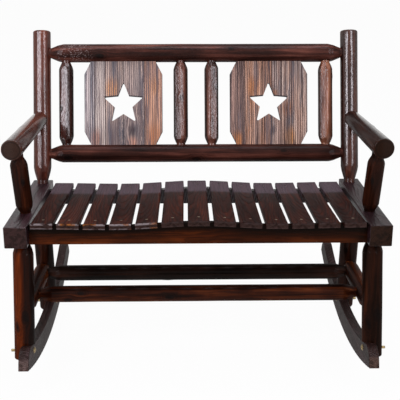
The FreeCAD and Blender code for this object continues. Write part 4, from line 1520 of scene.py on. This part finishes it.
@dataclass
class Seat:
    """The seat: two sawn rails, two cross boards, thirteen slats and the screws."""

    shop: Workshop
    slat_count: int = 13
    slat_pith: float = -0.06
    slat_lean: float = 0.03
    slat_turn: float = 2.4
    nose_depth: float = 0.0006
    arris_width: float = 0.004
    # How many slats from the left show strong painted highlights and bare wood along the front arris, and the
    # share of both on them and on the other slats.
    worn_slats: int = 5
    rub_left: float = 0.7
    rub_right: float = 0.05

    def build(self) -> None:
        """Dress all pieces of the seat."""
        shop, draw = self.shop, self.shop.drawing
        for side in Side:
            node = "side_rail_" + side.word
            low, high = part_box(node)
            place = grain_frame(Vector(((low.x + high.x) / 2, low.y, high.z)), draw.backward, draw.upward)
            shop.board(node, side.pick(SAWN, SHADED_SAWN), place, 50 + side.value,
                       (-0.05, 0.012 * side.value, 0.0))
        for node, finish, seed in (("front_apron", APRON, 53), ("rear_seat_board", SAWN, 54)):
            low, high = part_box(node)
            place = grain_frame(Vector((low.x, low.y, (low.z + high.z) / 2)), RIGHT, FRONT)
            shop.board(node, finish, place, seed, (-0.04, 0.02, 0.0))
        for number in range(1, self.slat_count + 1):
            node = f"seat_slat_{number:02d}"
            finish = replace(SLAT, rub=self.rub_left if number <= self.worn_slats else self.rub_right)
            shop.board(node, finish, self._arris_frame(node), 60 + number,
                       (self.slat_pith, self.slat_lean * math.sin(number * self.slat_turn), 0.0))
        steel = STEEL.material()
        for node in ("seat_slat_screws", "seat_board_screws", "arm_lag_screws", "arm_lag_washers"):
            shop.dress(node, steel)

    def _arris_frame(self, node: str) -> Matrix:
        """Grain axes of a slat, with their origin in the middle of its front arris.

        Args:
            node: The slat's node.

        Returns:
            The axes, rolled as the slat is.
        """
        backward, upward = self.shop.drawing.backward, self.shop.drawing.upward
        corners = [vert.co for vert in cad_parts[node].data.vertices]
        nearest = min(corner.dot(backward) for corner in corners)
        face = [corner for corner in corners if corner.dot(backward) < nearest + self.nose_depth]
        ends = (min(corner.x for corner in face), max(corner.x for corner in face))
        left, right = (max((corner for corner in face if abs(corner.x - end) < self.arris_width),
                           key=lambda corner: corner.dot(upward)) for end in ends)
        facing = (right - left).normalized().cross(backward)
        top = max(face, key=lambda corner: corner.dot(facing))
        return grain_frame((left + right) / 2 + (top - left).project(facing), backward, facing)


@dataclass
class Legs:
    """The legs, the stretchers between them and the rockers."""

    shop: Workshop
    leg_x: float = 0.504
    diameter: float = 0.059
    front_y: float = 0.075
    front_lean: float = math.radians(-13.5)
    rear_y: float = 0.373
    rear_lean: float = math.radians(7)
    lap_thickness: float = 0.0275
    lap_depth: float = 0.042
    lap_sweep: float = math.radians(36)
    lap_steps: int = 72
    lap_height: float = 0.12
    rocker_radius: float = 1.150
    rocker_height: float = 0.062
    rocker_low_y: float = 0.285
    rocker_drop: float = 0.456
    bolt_drop: float = 0.018
    bolt_recess: float = 0.009
    bolt_bore: float = 0.0206
    side_diameter: float = 0.051
    cross_diameter: float = 0.050
    leg_end: HewnEnd = HewnEnd(0.034, 0.038, 0.026, 0.008)
    side_end: HewnEnd = HewnEnd(0.034, 0.036, 0.020, 0.008)
    cross_end: HewnEnd = HewnEnd(0.031, 0.040, 0.016)

    @property
    def rocker_centre(self) -> tuple[float, float]:
        """Depth and height in the drawing of the centre of the rockers' arcs."""
        return self.rocker_low_y, self.rocker_radius - self.rocker_drop

    @property
    def top_radius(self) -> float:
        """Radius of the rockers' top."""
        return self.rocker_radius - self.rocker_height

    def down_to(self, head_y: float, lean: float, depth: float) -> tuple[float, float]:
        """Where the axis of a leg comes to lie at a depth under the top of the rocker.

        Args:
            head_y: Depth of the leg's head in the drawing.
            lean: Angle by which the leg goes backward on its way down.
            depth: Distance below the rocker's top arc.

        Returns:
            Depth and height in the drawing.
        """
        step_y, step_z = math.sin(lean), -math.cos(lean)
        centre_y, centre_z = self.rocker_centre
        off_y, off_z = head_y - centre_y, -self.shop.drawing.rail_height - centre_z
        half = off_y * step_y + off_z * step_z
        reach = -half + math.sqrt(half ** 2 - off_y ** 2 - off_z ** 2 + (self.top_radius + depth) ** 2)
        return head_y + step_y * reach, -self.shop.drawing.rail_height + step_z * reach

    def lap_cutter(self, side: Side) -> bmesh.types.BMesh:
        """Make the waste of the lap joint: a block swept along the rocker's top, on the inner side.

        Args:
            side: Side of the bench.

        Returns:
            The closed block.
        """
        inner = self.leg_x + self.diameter / 2 - self.lap_thickness
        far = self.top_radius + self.lap_height
        bm = bmesh.new()
        for x, radius in ((inner - self.diameter, self.top_radius), (inner, self.top_radius),
                          (inner, far), (inner - self.diameter, far)):
            bm.verts.new((side.value * x, 0.0, -radius))
        bm.faces.new(bm.verts)
        bmesh.ops.rotate(bm, verts=bm.verts, cent=(0, 0, 0),
                         matrix=Matrix.Rotation(-self.lap_sweep / 2, 3, "X"))
        bmesh.ops.spin(bm, geom=bm.faces[:] + bm.edges[:] + bm.verts[:], cent=(0, 0, 0), axis=(1, 0, 0),
                       angle=self.lap_sweep, steps=self.lap_steps, use_merge=False, use_duplicate=False)
        close_mesh(bm, 4)
        bmesh.ops.translate(bm, verts=bm.verts, vec=(0.0, *self.rocker_centre))
        bmesh.ops.transform(bm, matrix=self.shop.drawing.world, verts=bm.verts)
        return bm

    def build(self) -> None:
        """Make the legs and stretchers and dress the rockers and bolts."""
        front = self._leg_pair("front", self.front_y, self.front_lean, 73, (LEG, SHADED_LEG),
                               (Knot(0.64, -16.0, 0.013), Knot(0.72, 25.0, 0.011)))
        rear = self._leg_pair("rear", self.rear_y, self.rear_lean, 76, (DARK_LEG, DARK_LEG),
                              (Knot(0.4, 30.0, 0.008),))
        self._stretchers(front, rear)
        self._rockers()

    def _leg_pair(self, part: str, head_y: float, lean: float, seed: int,
                  finishes: tuple[LogFinish, LogFinish], knots: tuple[Knot, ...]) -> float:
        """Make the front or the rear legs.

        Args:
            part: Which of them, as node names have it.
            head_y: Depth of their heads in the drawing.
            lean: Angle by which they go backward on their way down.
            seed: Number that sets their pattern.
            finishes: Finishes of the left and the right leg.
            knots: Knots of each leg.

        Returns:
            Depth at which they pass the height of the stretchers.
        """
        draw = self.shop.drawing
        foot_y, foot_z = self.down_to(head_y, lean, self.lap_depth)
        bolt_y, bolt_z = self.down_to(head_y, lean, self.bolt_drop)
        seat = self.leg_x + self.diameter / 2 - self.bolt_recess
        for side in Side:
            x = side.value * self.leg_x
            bore = Carver.bore(draw.at(side.value * seat, bolt_y, bolt_z),
                               draw.at(side.value * (seat + self.diameter), bolt_y, bolt_z), self.bolt_bore)
            self.shop.log(f"{part}_leg_{side.word}", PeeledLog(
                f"{part}_leg_log_{side.word}", draw.at(x, head_y, -draw.rail_height),
                draw.at(x, foot_y, foot_z), self.diameter, FRONT, seed + side.value,
                low=self.leg_end, knots=knots), side.pick(*finishes), (self.lap_cutter(side), bore))
        share = (draw.stretcher_drop - draw.rail_height) / (-foot_z - draw.rail_height)
        return head_y + (foot_y - head_y) * share

    def _stretchers(self, front: float, rear: float) -> None:
        """Make the side and cross stretchers.

        Args:
            front: Depth of the front legs at the height of the stretchers.
            rear: Depth of the rear legs there.
        """
        draw = self.shop.drawing
        drop = draw.stretcher_drop
        front_y = front + self.diameter / 2 / math.cos(self.front_lean)
        rear_y = rear - self.diameter / 2 / math.cos(self.rear_lean)
        for side in Side:
            x = side.value * self.leg_x
            self.shop.log("side_stretcher_" + side.word, PeeledLog(
                "side_stretcher_log_" + side.word, draw.at(x, front_y, -drop), draw.at(x, rear_y, -drop),
                self.side_diameter, UP, 80 + side.value, low=self.side_end, high=self.side_end), STAVE)
        reach = self.leg_x - self.side_diameter / 2
        for node, y, seed, finish, knots in (
                ("front_cross_stretcher", draw.front_cross_y, 83, STAVE,
                 (Knot(0.09, 20.0, 0.008), Knot(0.41, 0.0, 0.009), Knot(0.13, -30.0, 0.007))),
                ("rear_cross_stretcher", draw.rear_cross_y, 86, DARK_STAVE, (Knot(0.40, 60.0, 0.009),))):
            self.shop.log(node, PeeledLog(
                node + "_log", draw.at(-reach, y, -drop), draw.at(reach, y, -drop), self.cross_diameter,
                FRONT, seed, low=self.cross_end, high=self.cross_end, knots=knots), finish)

    def _rockers(self) -> None:
        """Dress the rockers and their bolts."""
        backward = self.shop.drawing.backward
        for side in Side:
            node = "rocker_" + side.word
            low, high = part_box(node)
            place = grain_frame(Vector(((low.x + high.x) / 2, low.y, low.z)), backward, RIGHT)
            self.shop.board(node, side.pick(ROCKER, SHADED_ROCKER), place, 90 + side.value, (0.05, 0.03, 0.0))
        brass = BRASS.material()
        for node in ("rocker_bolts", "rocker_bolt_nuts", "rocker_bolt_washers"):
            self.shop.dress(node, brass)


@dataclass
class Studio:
    """The camera of the photograph, a white floor and soft lamps."""

    drawing: Drawing
    eye: tuple[float, float, float] = (-0.0348, -2.1229, 0.7327)
    pitch: float = 17.152
    yaw: float = 1.024
    lens: float = 72.9
    sensor: float = 36.0
    floor_size: float = 60.0
    floor_white: float = 0.6
    floor_glow: float = 0.97
    ambient: float = 0.16
    lamp_tint: tuple[float, float, float] = (0.97, 0.93, 1.0)
    aim: tuple[float, float, float] = (0.0, 0.0, 0.5)

    def build(self) -> None:
        """Set up everything round the object."""
        self._camera()
        self._floor()
        self._world()
        self._lamp("left_soft_box", (-2.3, -2.6, 2.4), (0.9, 2.4), 115.0)
        self._lamp("right_soft_box", (2.3, -2.6, 2.4), (0.7, 2.4), 80.0)
        self._lamp("overhead_soft_box", (0.0, 0.2, 3.2), (2.2, 1.2), 60.0)
        bpy.context.scene.view_settings.view_transform = "Standard"

    def _camera(self) -> None:
        """Set the camera at the photograph's viewing angle."""
        data = bpy.data.cameras.new("camera")
        data.lens = self.lens
        data.sensor_width = self.sensor
        camera = bpy.data.objects.new("camera", data)
        turn = Euler((math.radians(90 - self.pitch), 0.0, math.radians(-self.yaw))).to_matrix().to_4x4()
        camera.matrix_world = self.drawing.world @ Matrix.Translation(self.eye) @ turn
        bpy.context.scene.collection.objects.link(camera)
        bpy.context.scene.camera = camera

    @staticmethod
    def _seen(w: Wiring) -> Signal:
        """1 for rays from the camera and for mirrored or passed light, 0 for the rest."""
        path = w.outputs("LightPath", {})
        return path["Is Camera Ray"].peak(path["Is Glossy Ray"]).peak(path["Is Transmission Ray"])

    def _floor(self) -> None:
        """Lay a white floor that keeps a soft shadow."""
        bm = bmesh.new()
        bmesh.ops.create_grid(bm, x_segments=1, y_segments=1, size=self.floor_size / 2)
        floor = Carver().finish("floor", bm)
        material = bpy.data.materials.new("white_floor")
        w = wiring_of(material)
        white = w.add("BsdfDiffuse", {"Color": (self.floor_white,) * 3 + (1.0,)})
        glow = w.add("Emission", {"Color": (1.0, 1.0, 1.0, 1.0), "Strength": 1.0})
        blend = w.add("MixShader", {0: self._seen(w) * self.floor_glow, 1: white, 2: glow})
        w.node("OutputMaterial", {0: blend})
        floor.data.materials.append(material)

    def _world(self) -> None:
        """Make the world white where it is seen or mirrored, and a soft even light elsewhere."""
        world = bpy.data.worlds.new("studio")
        w = wiring_of(world)
        bpy.context.scene.world = world
        strength = self._seen(w).remap(0.0, 1.0, self.ambient, 1.0)
        w.node("OutputWorld", {0: w.add("Background", {"Color": (1.0, 1.0, 1.0, 1.0), "Strength": strength})})

    def _lamp(self, name: str, spot: tuple[float, float, float], size: tuple[float, float],
              power: float) -> None:
        """Hang one soft box aimed at the bench.

        Args:
            name: Name of the lamp.
            spot: Where it hangs.
            size: Its width and height.
            power: Its power in watts.
        """
        data = bpy.data.lights.new(name, "AREA")
        data.shape = "RECTANGLE"
        data.size, data.size_y = size
        data.energy = power
        data.color = self.lamp_tint
        lamp = bpy.data.objects.new(name, data)
        lamp.location = spot
        lamp.rotation_euler = (Vector(self.aim) - Vector(spot)).to_track_quat("-Z", "Y").to_euler()
        bpy.context.scene.collection.objects.link(lamp)


def main() -> None:
    """Build the bench and its studio."""
    logging.basicConfig(level=logging.INFO, format="%(name)s: %(message)s")
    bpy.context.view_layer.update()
    shop = Workshop()
    for section in (Back(shop), Arms(shop), Seat(shop), Legs(shop)):
        section.build()
        LOG.info("finished %s", type(section).__name__)
    Studio(shop.drawing).build()
    LOG.info("%d new pieces", shop.made)


if __name__ == "__main__":
    main()
